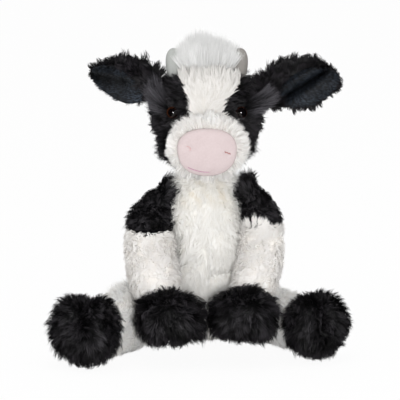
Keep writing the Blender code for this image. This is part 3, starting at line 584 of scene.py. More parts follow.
def locks_of_hair(name, roots, tips, normals, arch, width, colours, seed, slot, nodes, backing,
                  gather, locks, vary):
    """Long combed hair on the head: each hair bends in an arch from its root to its tip."""
    rng = np.random.default_rng(seed)
    count = len(roots)
    leaders = rng.choice(count, locks, replace=False)
    lead = leaders[nearest_of(roots, roots[leaders])]
    tips = tips * (1 - gather) + (tips[lead] + (roots - roots[lead]) * 0.4) * gather
    control = (roots + tips) / 2 + normals * arch
    shares = np.arange(5) / 4
    rows = [roots * (1 - share) ** 2 + control * 2 * share * (1 - share) + tips * share ** 2
            for share in shares]
    widths = [width * rng.uniform(0.7, 1.2, count)[:, None] * (1 - 0.75 * share)
              for share in shares[:-1]]
    hairs = spikes(np.stack(rows), widths, normals, 0.6, rng)
    by_lock = dict(zip(leaders.tolist(), rng.normal(0, vary, locks)))
    tone = np.array([by_lock[number] for number in lead.tolist()])
    tone = np.clip(1 + tone + rng.normal(0, vary, count), 0.25, 1.8)[:, None]
    root, tip = (linear(colour) for colour in colours)
    tones = [(root * (1 - share) + tip * share) * tone for share in shares]
    # The backing is painted a little deeper than the roots, as painted shade under the hair.
    piece = mesh_object(name, *joined(cloth_part(backing, root * 0.8),
                                      (*hairs, np.clip(ring_colours(tones), 0, 0.95))))
    dress(piece, long_fabric, "head", slot, nodes)


def away_from(middle, bias):
    """A comb that brushes away from a point, with a bias."""
    return lambda place, normal: unit(place - middle) + np.array(bias, float)


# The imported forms

NECK_AT, NECK_BALL = np.array([0, -6, 127.0]), 29
HIP_BALL = 26


def ball_end(points, middle, radius, way):
    """Draws what lies beyond the middle, the way that way points, in to a ball around it."""
    offset = points - middle
    apart = np.linalg.norm(offset, axis=1, keepdims=True)
    outside = (offset @ way > 0)[:, None] & (apart > radius)
    return np.where(outside, middle + offset * (radius / np.maximum(apart, 1e-6)), points)


TORSO = Stuffed([(0, 0, -0.5), (0, -3, 77.75), (0, -6, 156)],
                50 * np.array([0.86, 1, 0.98, 0.84, 0.72, 0.68, 0.66]),
                45 * np.array([0.86, 1, 0.99, 0.88, 0.76, 0.7, 0.66]), ACROSS, 3.2,
                lambda points, grow: ball_end(points, NECK_AT, NECK_BALL + grow, UP))
HEAD_AT = np.array([FACE_X, -14, 194])
HEAD = Stuffed([HEAD_AT - (0, 0, 49), HEAD_AT, HEAD_AT + (0, 0, 49)],
               50 * np.array([0.76, 0.9, 1.02, 1.02, 1]), 45 * np.array([0.9, 0.98, 1, 1, 0.98]),
               ACROSS, 2.4)
MUZZLE_AT = np.array([FACE_X, -59, 178.5])
MUZZLE_WIDE, MUZZLE_HIGH, MUZZLE_ROUND = 37, 27, 2.3
MUZZLE = Stuffed([MUZZLE_AT + (0, 20, 0), MUZZLE_AT - (0, 6, 0), MUZZLE_AT - (0, 32, 0)],
                 [MUZZLE_WIDE] * 3, [MUZZLE_HIGH] * 3, ACROSS, MUZZLE_ROUND)
TOPKNOT = Stuffed([(FACE_X, -16, 229), (FACE_X, -16, 248), (FACE_X, -16, 267)], [33] * 3, [22] * 3,
                  ACROSS, 2)

# Each arm's radius, how far out its shoulder and elbow are, and its hoof's way out, forward and up
ARM_SIZES = {"left": (22, 45, 47, 31, 82, 43), "right": (23, 43, 46, 29.5, 84, 41)}
# How far forward each hip lies, and how far out and forward each foot
LEG_SIZES = {"left": (-3, 92, 68), "right": (8, 98, 88)}
# The height at which black cloth meets white on each arm
SEAM = {"left": 103, "right": 98}
CORNERS = 2.7  # how square the hooves' sections are; 2 would be round


def arm_form(side):
    radius, shoulder, elbow, hoof_out, hoof_forward, hoof_up = ARM_SIZES[side]
    sign = SIGN[side]
    spine = [(sign * 34, -3, 138), (sign * shoulder, -3, 116), (sign * elbow, -24, 85),
             (sign * 40, -60, 59), (sign * hoof_out, -hoof_forward, hoof_up)]
    radii = radius * np.array([0.86, 0.96, 1, 1, 0.94])
    return Stuffed(spine, radii, radii, ACROSS, 2.6)


def squared(offset, first, second):
    """Pushes out a round section's corners between two of its axes, on second's side."""
    along, up = offset @ first, offset @ second
    size = np.maximum(np.hypot(along, up), 1e-6)
    grown = (abs(along / size) ** CORNERS + abs(up / size) ** CORNERS) ** (-1 / CORNERS)
    more = (grown - 1) * ramp(up / size, 0, 0.5)
    return offset + (more * along)[:, None] * first + (more * up)[:, None] * second


def hoof_form(side):
    _, _, _, out, forward, up = ARM_SIZES[side]
    middle = np.array([SIGN[side] * out, -forward, up])
    reach = np.array([0, -1, -1]) / math.sqrt(2) * 24

    def lumpy(points, grow):
        offset = squared(points - middle, ACROSS, -UP)
        outer = SIGN[side] * offset[:, 0] / 30
        offset = offset * (1, 1, 0) + offset * (0, 0, 1) * (1 + 0.13 * outer)[:, None]
        return middle + offset * (1 + 0.05 * drift(points, 26, np.random.default_rng(13)))[:, None]

    return Stuffed([middle - reach, middle, middle + reach], [30] * 3, [25] * 3, ACROSS, 2.6, lumpy)


def leg_places(side):
    """The hip, the foot's middle, and the level way from one to the other."""
    hip_forward, foot_out, foot_forward = LEG_SIZES[side]
    hip = np.array([SIGN[side] * 49.0, -hip_forward, 25.5])
    foot = np.array([SIGN[side] * foot_out, -foot_forward, 30.0])
    way = (foot - hip) * (1, 1, 0)
    return hip, foot, way / np.linalg.norm(way)


def leg_form(side):
    hip, foot, way = leg_places(side)
    start = hip - way * HIP_BALL
    end = np.array([foot[0], foot[1], hip[2]])
    radii = HIP_BALL * np.array([1, 1.02, 1, 0.96])
    return Stuffed([start, (start + end) / 2, end], radii, radii, np.cross(way, UP), 5,
                   lambda points, grow: ball_end(points, hip, HIP_BALL + grow, -way))


def foot_form(side):
    _, middle, way = leg_places(side)
    across = np.cross(way, UP)

    def cleft(points, grow):
        """Presses the hoof's cleft into its top and front, and makes it square and lumpy."""
        offset = points - middle
        out = offset / np.maximum(np.linalg.norm(offset, axis=1, keepdims=True), 1)
        there = ramp(out[:, 2], -0.25, 0.35) * ramp(out @ way, -0.3, 0.2)
        pressed = offset - out * (9.5 * there * bell(offset @ across + 2.0, 5.5))[:, None]
        pressed = squared(pressed, across, UP)
        lumps = 0.045 * drift(points, 28, np.random.default_rng(14))
        return middle + pressed * (1 + lumps)[:, None]

    return Stuffed([middle - way * 23, middle, middle + way * 23], [30.5] * 3, [30.5] * 3, across,
                   2.6, cleft)


ARMS, HOOVES, LEGS, FEET = ({side: form(side) for side in SIGN}
                            for form in (arm_form, hoof_form, leg_form, foot_form))


# Body and limbs

# Folds of the belly: two ends in x and z, depth and half width
FOLDS = (((-24, 96), (-27, 62), 5.0, 3.8), ((33, 96), (31, 62), 5.0, 3.8),
         ((-25, 74), (-4, 78), 3.6, 2.8), ((6, 66), (25, 70), 4.4, 2.8), ((4, 92), (6, 68), 2.6, 3.2))


def folded(points, faces):
    """Presses the folds into the front of the body."""
    normals = vertex_normals(points, faces)
    sunk = np.zeros(len(points))
    for start, end, depth, half in FOLDS:
        start, end = np.array(start, float), np.array(end, float)
        offset = points[:, [0, 2]] - start
        along = np.clip(offset @ (end - start) / ((end - start) @ (end - start)), 0, 1)
        apart = np.linalg.norm(offset - along[:, None] * (end - start), axis=1)
        sunk += depth * bell(apart, half)
    return points - normals * (sunk * ramp(-normals[:, 1], 0.2, 0.6))[:, None], faces


def make_body():
    """White pile brushed down, longer and standing up at the neck."""
    points, faces = folded(*TORSO.surface(120, 80, -5.5))
    _, y, z = points.T
    points[:, 2] += 15 * ramp(z, 18, 2) * ramp(y, 2, -24)
    backing = cut_flat((points, faces), SEAT_CUT, 1)
    outside = clear_of(*((limb, -7) for limb in [*ARMS.values(), *LEGS.values()]))

    def keep(points):
        return outside(points) & (points[:, 2] < 150) & (points[:, 2] > BARE_UNDER)

    def tint(place, colour):
        """Painted shade under the chin: the chest's top front darker and warmer, in patches."""
        _, y, z = place.T
        shade_patches = np.clip(0.55 + drift(place, 14, np.random.default_rng(12)), 0.15, 1.3)
        shade = ramp(z, 116, 134) * ramp(y, -12, -24) * shade_patches
        return colour * (1 - shade[:, None] * (0.08, 0.11, 0.16))

    def trim(place):
        z = place[:, 2]
        return 1 + 0.8 * ramp(z, 134, 146) - 0.25 * ramp(z, 106, 114) * ramp(z, 140, 132)

    def comb(place, normal):
        neck = ramp(place[:, 2], 136, 144)[:, None]
        return np.array([0, -0.2, -1]) * (1 - neck) + columns(place[:, 0] / 8, -0.3, 0.2) * neck

    hairs = grow_pile(backing, WHITE, keep, comb, 11, tint, trim,
                      lambda place: 0.35 * ramp(place[:, 2], 132, 144))
    plush("body_plush", backing, hairs, WHITE, "torso", ["torso_skin", "torso_filling"])


@dataclass
class ArmCloth:
    """What differs between the arms' cloth: lengths in mm, and pile's length as shares."""

    inset: float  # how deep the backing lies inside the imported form
    neck: float  # how far out the neck's side of the shoulder ends
    rise: float  # how far the shoulder swells beside the neck
    sink: float  # and how far it sinks outside that
    flat: float  # how much shorter the pile is where it sinks
    hem: float  # how much shorter it is along the seam
    turned: float  # how far the seam's black pile is brushed outwards


ARM_CLOTH = {"left": ArmCloth(inset=5, neck=38, rise=8, sink=1, flat=0.3, hem=0.5, turned=0.9),
             "right": ArmCloth(inset=3.5, neck=33, rise=7, sink=3.5, flat=0.45, hem=0.1, turned=0.0)}


def seam_edge(side, points):
    """How high each arm's white pile starts."""
    x = points[:, 0]
    ripple = 0.8 * np.sin(x * 0.9) + 0.6 * np.sin(x * 2.3)
    if side == "left":
        return SEAM[side] + ripple + 7 * bell(x - 43, 11)
    return SEAM[side] + ripple * 0.5 + 4


def make_shoulder(side, whole):
    """Black pile over the shoulder, swelling beside the neck."""
    cloth, sign = ARM_CLOTH[side], SIGN[side]
    outside = clear_of((TORSO, -9), (HEAD, -9))

    def outer_top(place):
        """1 on the slope outside the neck, where the pile lies flat."""
        return ramp(place[:, 2], 112, 126) * ramp(abs(place[:, 0]), cloth.neck, cloth.neck + 8)

    def inner_top(place):
        return ramp(place[:, 2], 118, 130) * (1 - outer_top(place))

    def by_seam(place):
        return 1 - ramp(place[:, 2] - seam_edge(side, place), 0, 9)

    def trim(place):
        return (0.85 - cloth.flat * outer_top(place) + 0.35 * inner_top(place)
                - cloth.hem * by_seam(place))

    def comb(place, normal):
        top = inner_top(place)[:, None]
        lift = by_seam(place)[:, None] * cloth.turned
        return (np.array([sign * 0.4, -0.2, -1.0]) * (1 - top - lift)
                + np.array([-sign * 0.8, -0.3, 0.7]) * top + np.array([sign * 0.5, -0.3, 0.3]) * lift)

    points, faces = cut_flat(whole, SEAM[side], 1)
    swell = cloth.rise * inner_top(points) - cloth.sink * outer_top(points)
    backing = points + vertex_normals(points, faces) * swell[:, None], faces
    hairs = grow_pile(backing, SHOULDER_BLACK_PAINTED_LIGHT,
                      lambda points: outside(points) & (points[:, 2] > seam_edge(side, points) + 0.5),
                      comb, 21 + sign, trim=trim,
                      stand=lambda place: -0.45 * outer_top(place) + 0.1 * inner_top(place))
    plush(f"shoulder_plush_{side}", backing, hairs, SHOULDER_BLACK_PAINTED_LIGHT, f"arm_{side}",
          [f"shoulder_{side}"])


def make_sleeve(side, whole):
    """White pile brushed down the arm, and on the left up into the black at the seam."""
    outside = clear_of((TORSO, -9), (HOOVES[side], -7), (LEGS[side], -8))
    line = smooth_values(ARMS[side].spine, np.linspace(0, 1, 20))

    def keep(points):
        return outside(points) & (points[:, 2] < seam_edge(side, points) - 0.5)

    def comb(place, normal):
        near = ((place[:, None] - line[None, :-1]) ** 2).sum(axis=-1).argmin(axis=1)
        way = unit(np.diff(line, axis=0))[near]
        if side == "right":
            return way
        up = ramp(place[:, 2], SEAM[side] - 16, SEAM[side] - 4)[:, None]
        return way * (1 - up) + np.array([0, -0.3, 1.0]) * up

    hairs = grow_pile(whole, SLEEVE_WHITE_PAINTED_LIGHT, keep, comb, 31 + SIGN[side])
    plush(f"sleeve_plush_{side}", cut_flat(whole, SEAM[side] - 0.4, -1), hairs, SLEEVE_WHITE_PAINTED_LIGHT,
          f"arm_{side}", [f"sleeve_{side}", f"arm_filling_{side}"])


def make_front_hoof(side):
    """Black pile combed down from the hoof's top, and inwards where the two hooves meet."""
    sign = SIGN[side]
    backing = HOOVES[side].surface(44, 28, -5)
    middle = HOOVES[side].spine[1]
    down = away_from(middle + (0, -4, 14), (sign * 0.1, -0.1, -0.7))

    def comb(place, normal):
        inner = ramp(abs(place[:, 0]), 16, 6)[:, None]
        return down(place, normal) + np.array([-sign * 1.4, -0.3, 0.2]) * inner

    def trim(place):
        return (1 - 0.45 * ramp(place[:, 2] - middle[2], 8, 20) + 0.7 * ramp(abs(place[:, 0]), 14, 6))

    hairs = grow_pile(backing, BLACK, clear_of((ARMS[side], -10)), comb, 41 + sign, trim=trim)
    tips = hairs[0]
    _, y, z = tips.T
    meeting = 2.0 + 1.3 * np.sin(z * 0.33) + 0.9 * np.sin(z * 0.8 + y * 0.5) + 0.8 * np.sin(y * 0.9)
    tips[:, 0] = sign * np.maximum(sign * tips[:, 0], 0.15 + sign * meeting)
    plush(f"front_hoof_plush_{side}", backing, hairs, BLACK, f"arm_{side}", [f"front_hoof_{side}"])


def make_arm(side):
    whole = ARMS[side].surface(40, 48, -ARM_CLOTH[side].inset)
    make_shoulder(side, whole)
    make_sleeve(side, whole)
    make_front_hoof(side)


# How deep each leg's and foot's backing lies, and how much longer the thigh's pile is
LEG_INSET = {"left": 6.5, "right": 4.5}
FOOT_INSET = {"left": 6, "right": 4}
THIGH = {"left": 0.15, "right": 1}


def make_leg(side):
    leg, foot = LEGS[side], FEET[side]
    sign = SIGN[side]
    body = f"leg_body_{side}"
    hip, middle, way = leg_places(side)
    points, faces = leg.surface(40, 40, -LEG_INSET[side])
    points[:, 2] += 7 * ramp(points[:, 2], 14, 2) * ramp((points - hip) @ way, 30, 6)
    backing = cut_flat((points, faces), SEAT_CUT, 1)
    off_leg, off_foot = clear_of((TORSO, -9), (foot, -7)), clear_of((leg, -10))

    def thigh(place):
        return THIGH[side] * ramp(place[:, 2], 34, 44) * ramp((place - hip) @ way, 52, 22)

    hairs = grow_pile(backing, LEG_WHITE_PAINTED_LIGHT, lambda points: off_leg(points) & (points[:, 2] > BARE_UNDER),
                      lambda place, normal: np.tile(way + (0, 0, -0.4), (len(place), 1)), 51 + sign,
                      trim=lambda place: 1.15 + 0.9 * thigh(place),
                      stand=lambda place: 0.1 + 0.45 * thigh(place))
    plush(f"leg_plush_{side}", backing, hairs, LEG_WHITE_PAINTED_LIGHT, body, [f"leg_{side}", f"leg_filling_{side}"])

    backing = cut_flat(foot.surface(48, 28, -FOOT_INSET[side]), SEAT_CUT, 1)

    def trim(place):
        """Shorter on the foot's top, and shorter still along its cleft."""
        top = ramp(place[:, 2] - middle[2], 6, 18)
        return 1 - 0.2 * top - 0.35 * top * bell((place - middle) @ np.cross(way, UP) + 2, 5)

    hairs = grow_pile(backing, BLACK, lambda points: off_foot(points) & (points[:, 2] > BARE_UNDER),
                      away_from(middle + (0, 0, 6), (0, 0, -0.7)), 61 + sign, trim=trim)
    plush(f"rear_hoof_plush_{side}", backing, hairs, BLACK, body, [f"rear_hoof_{side}"])


# Head

EYE_PLACES = {side: np.array([FACE_X + SIGN[side] * 32, 0, 206.0]) for side in SIGN}
EAR_ROOTS = [np.array([FACE_X + SIGN[side] * 38, -10, 232]) for side in SIGN]
# How far the white forehead reaches to the cow's right and left of the middle at each height
BLAZE_HEIGHTS = np.array([189, 204, 211, 216, 222, 226, 231, 236, 252.0])
BLAZE_WIDTHS = np.array([(23, 12.5, 13, 14.5, 16, 19, 24, 30, 32),
                         (23, 12.5, 12, 16, 23, 27.5, 28.5, 29.5, 32.0)])


def front_of(form, x, z, grow=0.0):
    """Where an upright form's front lies at each x and z."""
    low, high = form.spine[0][2] - grow, form.spine[-1][2] + grow
    share = np.clip((z - low) / (high - low), 0.001, 0.999)
    round_off = (1 - abs(2 * share - 1) ** form.fullness) ** (1 / form.fullness)
    across, through = (half * round_off for half in form.halves(share, grow))
    middle = smooth_values(form.spine, share)
    return middle[:, 1] - through * np.sqrt(np.maximum(1 - ((x - middle[:, 0]) / across) ** 2, 0))


for place in EYE_PLACES.values():
    place[1] = front_of(HEAD, place[:1], place[2:])[0]


def in_blaze(points):
    x, y, z = points.T
    right, left = (np.interp(z, BLAZE_HEIGHTS, widths) for widths in BLAZE_WIDTHS)
    wave = 0.8 * np.sin(z * 0.55) + 0.55 * np.sin(z * 1.3 + x)
    return (abs(x - FACE_X) < np.where(x < FACE_X, right, left) + wave) & (y < -20)


def away_from_eyes(points):
    kept = np.ones(len(points), bool)
    for side, place in EYE_PLACES.items():
        out = place[0] + SIGN[side] * 1.2
        kept &= np.hypot(points[:, 0] - out, points[:, 2] - place[2]) > 2.5
    return kept


def make_head():
    """Black pile brushed off the face, parting at the eyes, with fuller cheeks and crown."""
    points, faces = HEAD.surface(72, 48, -8)
    x, _, z = points.T
    cheek = ramp(z, 180, 168) * ramp(z, 147, 154) * ramp(abs(x), 10, 20) * np.where(x < 0, 5.5, 2.0)
    backing = points + vertex_normals(points, faces) * cheek[:, None], faces
    outside = clear_of((MUZZLE, -6), (TOPKNOT, -9))

    def keep(points):
        x, y, z = points.T
        chin = (z < np.where(x < 0, 155, 160)) & (y < -22)
        return outside(points) & ~in_blaze(points) & ~chin & away_from_eyes(points)

    def comb(place, normal):
        x, _, z = place.T
        way = columns((x - FACE_X) / 30, 0.5, -0.5)
        for eye in EYE_PLACES.values():
            offset = (place - eye) * (1, 0, 1)
            apart = np.linalg.norm(offset, axis=1, keepdims=True)
            way = way + unit(offset) * bell(apart, 7) * 1.3
        crown = ramp(z, 218, 232)[:, None]
        return way * (1 - crown) + columns((x - FACE_X) / 25, 0.2, 0.9) * crown

    def trim(place):
        x, _, z = place.T
        share = (1 + 0.4 * ramp(z, 184, 170)) * (1 - 0.5 * ramp(z, 170, 160) * ramp(abs(x), 12, 20))
        for eye in EYE_PLACES.values():
            share *= 1 - 0.4 * bell(np.linalg.norm((place - eye) * (1, 0.4, 1), axis=1), 11)
        for root in EAR_ROOTS:
            share *= 1 + 1.1 * bell(np.linalg.norm(place - root, axis=1), 13)
        return share

    hairs = grow_pile(backing, SHORT_BLACK, keep, comb, 71, trim=trim,
                      stand=lambda place: 0.35 * ramp(place[:, 2], 222, 232))
    plush("head_plush", backing, hairs, BLACK, "head", ["head_skin", "head_filling"])
    make_blaze(backing, outside)


def make_blaze(head, outside):
    """The white forehead: pile brushed up into the topknot, and longer towards it."""
    def comb(place, normal):
        x, _, z = place.T
        return columns((x - FACE_X) / (34 + 16 * ramp(z, 214, 226)), -0.1, 0.3 + 0.9 * ramp(z, 215, 229))

    def upper(place):
        return ramp(place[:, 2], 220, 230)

    hairs = grow_pile(head, BLAZE_WHITE_PAINTED_SHADE, lambda points: outside(points) & in_blaze(points), comb, 72,
                      trim=lambda place: 1 + 0.95 * upper(place), stand=lambda place: -0.1 * upper(place))
    plush("blaze_plush", shell(head, in_blaze, 0.6), hairs, BLAZE_WHITE_PAINTED_SHADE, "head", ["head_blaze"])


# Muzzle and nose

NOSE_AT = np.array([FACE_X, 0, 176.0])
NOSE_WIDE, NOSE_HIGH, NOSE_SQUARE = 26.2, 19.5, 2.35
NOSTRILS = {"left": (18.0, 177.6), "right": (-13.5, 181.6)}


def nose_edge(angle):
    """The pad's outline from its middle: a rounded square, narrower below."""
    across, up = np.cos(angle), np.sin(angle)
    reach = (abs(across) ** NOSE_SQUARE + abs(up) ** NOSE_SQUARE) ** (-1 / NOSE_SQUARE)
    across, up = reach * across, reach * up
    return NOSE_WIDE * across * (1 - 0.16 * (1 - up) / 2), NOSE_HIGH * up + 1.0


def past_nose(points):
    """How far outside the nose pad's edge each place lies, seen from the front."""
    x, _, z = (points - NOSE_AT).T
    return np.hypot(x, z) - np.hypot(*nose_edge(np.arctan2(z / NOSE_HIGH, x / 25)))


def nose_front(x, z):
    """The nose pad's face: the muzzle's front, a little grown, with a dimple at each nostril."""
    grow = 1.2
    radius = np.hypot((x - FACE_X) / (MUZZLE_WIDE + grow), (z - MUZZLE_AT[2]) / (MUZZLE_HIGH + grow))
    depth = -65 - (26 + grow) * (1 - np.minimum(radius, 1) ** MUZZLE_ROUND) ** (1 / MUZZLE_ROUND)
    for across, height in NOSTRILS.values():
        depth = depth + 1.5 * np.exp(-(((x - across) / 3.4) ** 2 + ((z - height) / 2.6) ** 2))
    return depth


def make_muzzle():
    """White pile brushed away from the nose pad, standing up and hanging over along its edge."""
    outside = clear_of((HEAD, -7))

    def rim(place):
        return bell(past_nose(place), 2.5)

    def keep(points):
        return outside(points) & ~((past_nose(points) < -1.5) & (points[:, 1] < -70))

    def comb(place, normal):
        offset = unit((place - NOSE_AT) * (1, 0, 1))
        over = (rim(place) > 0.5) & (np.sin(place[:, 0] * 37 + place[:, 2] * 53) > 0)
        return np.where(over[:, None], -offset, offset + (0, 0.35, 0))

    def trim(place):
        return (1 - 0.3 * ramp(place[:, 0], -20, -28) + 0.3 * ramp(place[:, 2], 196, 202)
                + 0.2 * rim(place))

    backing = MUZZLE.surface(56, 32, -6.5)
    hairs = grow_pile(backing, MUZZLE_WHITE_PAINTED_LIGHT, keep, comb, 81, trim=trim,
                      stand=lambda place: 0.75 * rim(place))
    plush("muzzle_plush", backing, hairs, MUZZLE_WHITE_PAINTED_LIGHT, "head", ["muzzle_skin", "muzzle_filling"])


def make_nose():
    """The stuffed pad: its face rounds over at the edge, and its back lies in the muzzle."""
    count, around = 26, 72
    edge_x, edge_z = nose_edge(2 * math.pi * np.arange(around) / around)
    rings = []
    for share in np.arange(1, count + 1) / count:
        out = math.sin(math.pi / 2 * share)
        x, z = NOSE_AT[0] + edge_x * out, NOSE_AT[2] + edge_z * out
        turned = max(share - 0.7, 0) / 0.3
        rings.append(columns(x, nose_front(x, z) + 2.6 * turned ** 2, z))
    rings.append(NOSE_AT + (rings[-1] - NOSE_AT) * (0.97, 1, 0.97) + (0, 6.0, 0))
    x, _, z = NOSE_AT
    piece = mesh_object("nose_velour", *tube(rings, (x, nose_front(x, z), z), (x, -84.0, z)))
    dress(piece, velour("pink_velour_nap", "#CCBEBE", "#B5A3A3"), "head", "pink_velour",
          ["nose_pad"])


def make_thread(name, places, radius, material, nodes):
    """Embroidery: two strands twisted round each other along a smooth path."""
    share = np.linspace(0, 1, 90)
    middle = smooth_values(places, share)
    tangent = unit(np.gradient(middle, axis=0))
    side = unit(np.cross(tangent, (0, -1.0, 0)))
    up = np.cross(tangent, side)
    turns = np.linalg.norm(np.diff(middle, axis=0), axis=1).sum() / (radius * 6)
    taper = np.minimum(1, np.sin(math.pi * np.clip(share, 0.02, 0.98)) * 4)[:, None]
    strands = []
    for start in (0, math.pi):
        twist = (2 * math.pi * turns * share + start)[:, None]
        centre = middle + (side * np.cos(twist) + up * np.sin(twist)) * radius * 0.5
        rings = np.stack([centre + (side * math.cos(angle) + up * math.sin(angle)) * radius * 0.62 * taper
                          for angle in math.pi / 4 * np.arange(8)], axis=1)
        strands.append(tube(rings, centre[0], centre[-1]))
    dress(mesh_object(name, *joined(*strands)), material, "head", "rose_thread", nodes)


# Each stitch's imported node, thread, places in x and z, lift off the pad and radius
STITCHES = (
    ("mouth_thread", "mouth_stitch", ("rose_rayon_thread", "#BC8FA6"),
     ((-14.5, 165.6), (-10.5, 163.9), (-6, 162.5), (-1, 161.6), (4, 161.5)), 0.1, 0.42),
    ("nostril_thread_left", "nostril_left", ("deep_rose_rayon_thread", "#A4706E"),
     ((15.2, 178.6), (18, 177.4), (20.8, 176.2)), -0.3, 0.8),
    ("nostril_thread_right", "nostril_right", ("pale_rose_rayon_thread", "#CBA6A6"),
     ((-15.6, 182.8), (-13.2, 182.6), (-11.8, 180.8), (-12.8, 179.2)), -0.1, 0.45))


def make_stitches():
    for name, stitch, colour, places, lift, radius in STITCHES:
        x, z = np.array(places, float).T
        make_thread(name, columns(x, nose_front(x, z) - lift, z), radius, rayon(*colour), [stitch])


# How far outwards each pupil lies from the eye's middle, and its radius
PUPILS = {"left": (0.0, 4.1), "right": (0.7, 3.6)}


def make_eyes():
    """Moulded safety eyes: a glossy dome, brown around a black pupil, on a short stem."""
    moulded, tree, shader = new_material("moulded_brown_eye", Roughness=0.08, Specular_IOR_Level=0.9)
    where = node(tree, "ShaderNodeVertexColor", layer_name="pile")
    tree.links.new(where.outputs["Color"], shader.inputs["Base Color"])
    black, brown, edge = (linear(colour) for colour in ("#070506", "#3C1F10", "#120C0A"))
    dome, radius, around, rings = 4.0, 4.9, 40, 16
    number = np.arange(around)
    angle = 2 * math.pi * number / around
    turn = (math.pi * 0.62 * np.arange(1, rings + 1) / rings)[:, None]
    out, rise = radius * np.sin(turn), dome * np.cos(turn)
    x, z = out * np.cos(angle), out * np.sin(angle)
    iris = brown * (0.8 + 0.35 * np.sin(number * 7.3) * np.sin(number * 2.1))[:, None]
    outer = ramp(out, 4.5, 4.8)[..., None]
    for side, place in EYE_PLACES.items():
        shift, pupil = PUPILS[side]
        look = unit((place - HEAD_AT) * ((45 / 50) ** 2, 1, 1))
        seat = place - look * 6.0
        look = unit(look * 0.4 + (0, -0.8, 0))
        across = unit(np.cross(look, UP))
        up = np.cross(across, look)
        inner = ramp(np.hypot(x - shift * SIGN[side], z), pupil, pupil + 0.4)[..., None]
        colours = black * (1 - inner) + iris * inner * (1 - outer) + edge * outer
        points = seat + look * rise[..., None] + across * x[..., None] + up * z[..., None]
        piece = mesh_object(f"eye_dome_{side}", *tube(points, seat + look * dome, seat - look * 2.0),
                            colours=np.concatenate([colours.reshape(-1, 3), [black, edge]]))
        dress(piece, moulded, "head", "brown_eye", [f"eye_{side}", f"eye_washer_{side}"])


def make_horns():
    """Blunt horns of grey velour, the left one painted darker and warmer as painted shade, with a seam.
    """
    finishes = {"right": velour("grey_velour_nap", "#AFB1AE", "#959794"),
                # The left horn is the same velour, painted darker as painted shade.
                "left": velour("grey_velour_nap_painted_shade", "#94908C", "#75726E")}
    for side, sign in SIGN.items():
        foot = np.array([FACE_X + sign * 26, -12, 227.0])
        top = foot + (sign * 2, 0, 27)
        middle = (foot + top) / 2
        points, faces = Stuffed([foot, middle, top], [7.2] * 3, [7.2] * 3, ACROSS,
                                2.3).surface(40, 28, 0.3)
        seam = bell(points[:, 1] - foot[1], 0.7) * 0.35
        points = points - unit((points - middle) * (1, 1, 0)) * seam[:, None]
        dress(mesh_object(f"horn_velour_{side}", points, faces), finishes[side], "head",
              "grey_velour", [f"horn_{side}", f"horn_filling_{side}"])


def make_topknot():
    """Long grey-white hair that stands up between the horns, highest at the cow's right."""
    rng = np.random.default_rng(91)
    count = 7500
    angle = rng.uniform(0, 2 * math.pi, count)
    radius = np.sqrt(rng.random(count))
    across, deep = radius * np.cos(angle), radius * np.sin(angle)
    roots = columns(FACE_X + 20 * across, -14 + 9 * deep, 235 - 3 * across ** 2 - deep ** 2)
    tips_x = FACE_X + 29 * across + rng.normal(0, 3.2, count)
    tops = smooth_values((253, 263, 270, 270, 266, 263, 256), (tips_x + 31) / 64)
    long = np.where(rng.random(count) < 0.12, rng.uniform(1.0, 1.09, count),
                    rng.uniform(0.6, 1, count))
    tips_z = 238 + (tops - 238) * (1 - 0.3 * radius ** 2 * (deep < 0)) * long
    tips = columns(tips_x, -16 + 20 * deep + rng.normal(0, 2.5, count), tips_z)
    normals = unit(columns(across * 0.25, deep * 0.2 - 0.9, 0.5))
    base = Stuffed([(FACE_X, -14, 224), (FACE_X, -14, 230), (FACE_X, -14, 236)], [21] * 3, [9] * 3,
                   ACROSS, 2).surface(32, 12)
    locks_of_hair("topknot_hair", roots, tips, normals, 2.5, 0.22, ("#D2D2D1", "#E6E6E5"), 92,
                  "long_grey_hair", ["topknot"], base, gather=0.3, locks=260, vary=0.05)


# Where the ends of each tuft's fan lie, from its top to its bottom
TUFT_TIPS = {"left": [(53, -27, 226), (62, -27, 221), (62, -26, 213), (55, -26, 205), (46, -28, 200)],
             "right": [(-40, -27, 238), (-48, -26, 232), (-53, -26, 222), (-50, -26, 210),
                       (-46, -28, 201)]}


def make_tuft(side):
    """Long hair sewn in by the eye, which fans out over the ear's root."""
    sign = SIGN[side]
    rng = np.random.default_rng(95 + sign)
    count = 1300
    fan = rng.random(count)
    x = FACE_X + sign * (36 + rng.normal(0, 1.6, count))
    z = 207 + 10 * (0.5 - fan) + rng.normal(0, 1.2, count)
    roots = columns(x, front_of(HEAD, x, z, -7), z)
    tips = smooth_values(TUFT_TIPS[side], fan)
    tips = roots + (tips - roots) * rng.uniform(0.6, 1.1, count)[:, None]
    tips = tips + rng.normal(0, 1.8, (count, 3))
    normals = unit((roots + tips) / 2 - HEAD_AT)
    middle = roots.mean(axis=0) + (0, 1, 0)
    base = Stuffed([middle + 6 * UP, middle, middle - 6 * UP], [3] * 3, [2] * 3, ACROSS,
                   2).surface(16, 8)
    # The tufts' hairs are deeper at the root and paler at the tip: painted shade and painted sheen.
    locks_of_hair(f"ear_tuft_hair_{side}", roots, tips, normals, 5, 0.15, ("#050506", "#5E5C61"),
                  96 + sign, "long_dark_hair", [f"ear_tuft_{side}"], base, gather=0.5, locks=110,
                  vary=0.85)


# Ears

EAR_AXES = {"left": ((39.6, -10, 214.6), (118.5, -10, 225)),
            "right": ((-36.9, -10, 220.2), (-97, -10, 236))}
# The rim's height above and below the axis, at even shares from root to tip
EAR_UPPER = {"left": (12, 20, 25.5, 25.5, 22.5, 13), "right": (11, 17.5, 18.5, 17, 12, 6)}
EAR_LOWER = {"left": (8, 12.5, 14.5, 17, 10.5, 6), "right": (7, 15, 19.5, 17.5, 13, 5.5)}
# How much of each ear's length the backing leaves to the pile at its tip
EAR_TIP = {"left": 0.06, "right": 0.02}
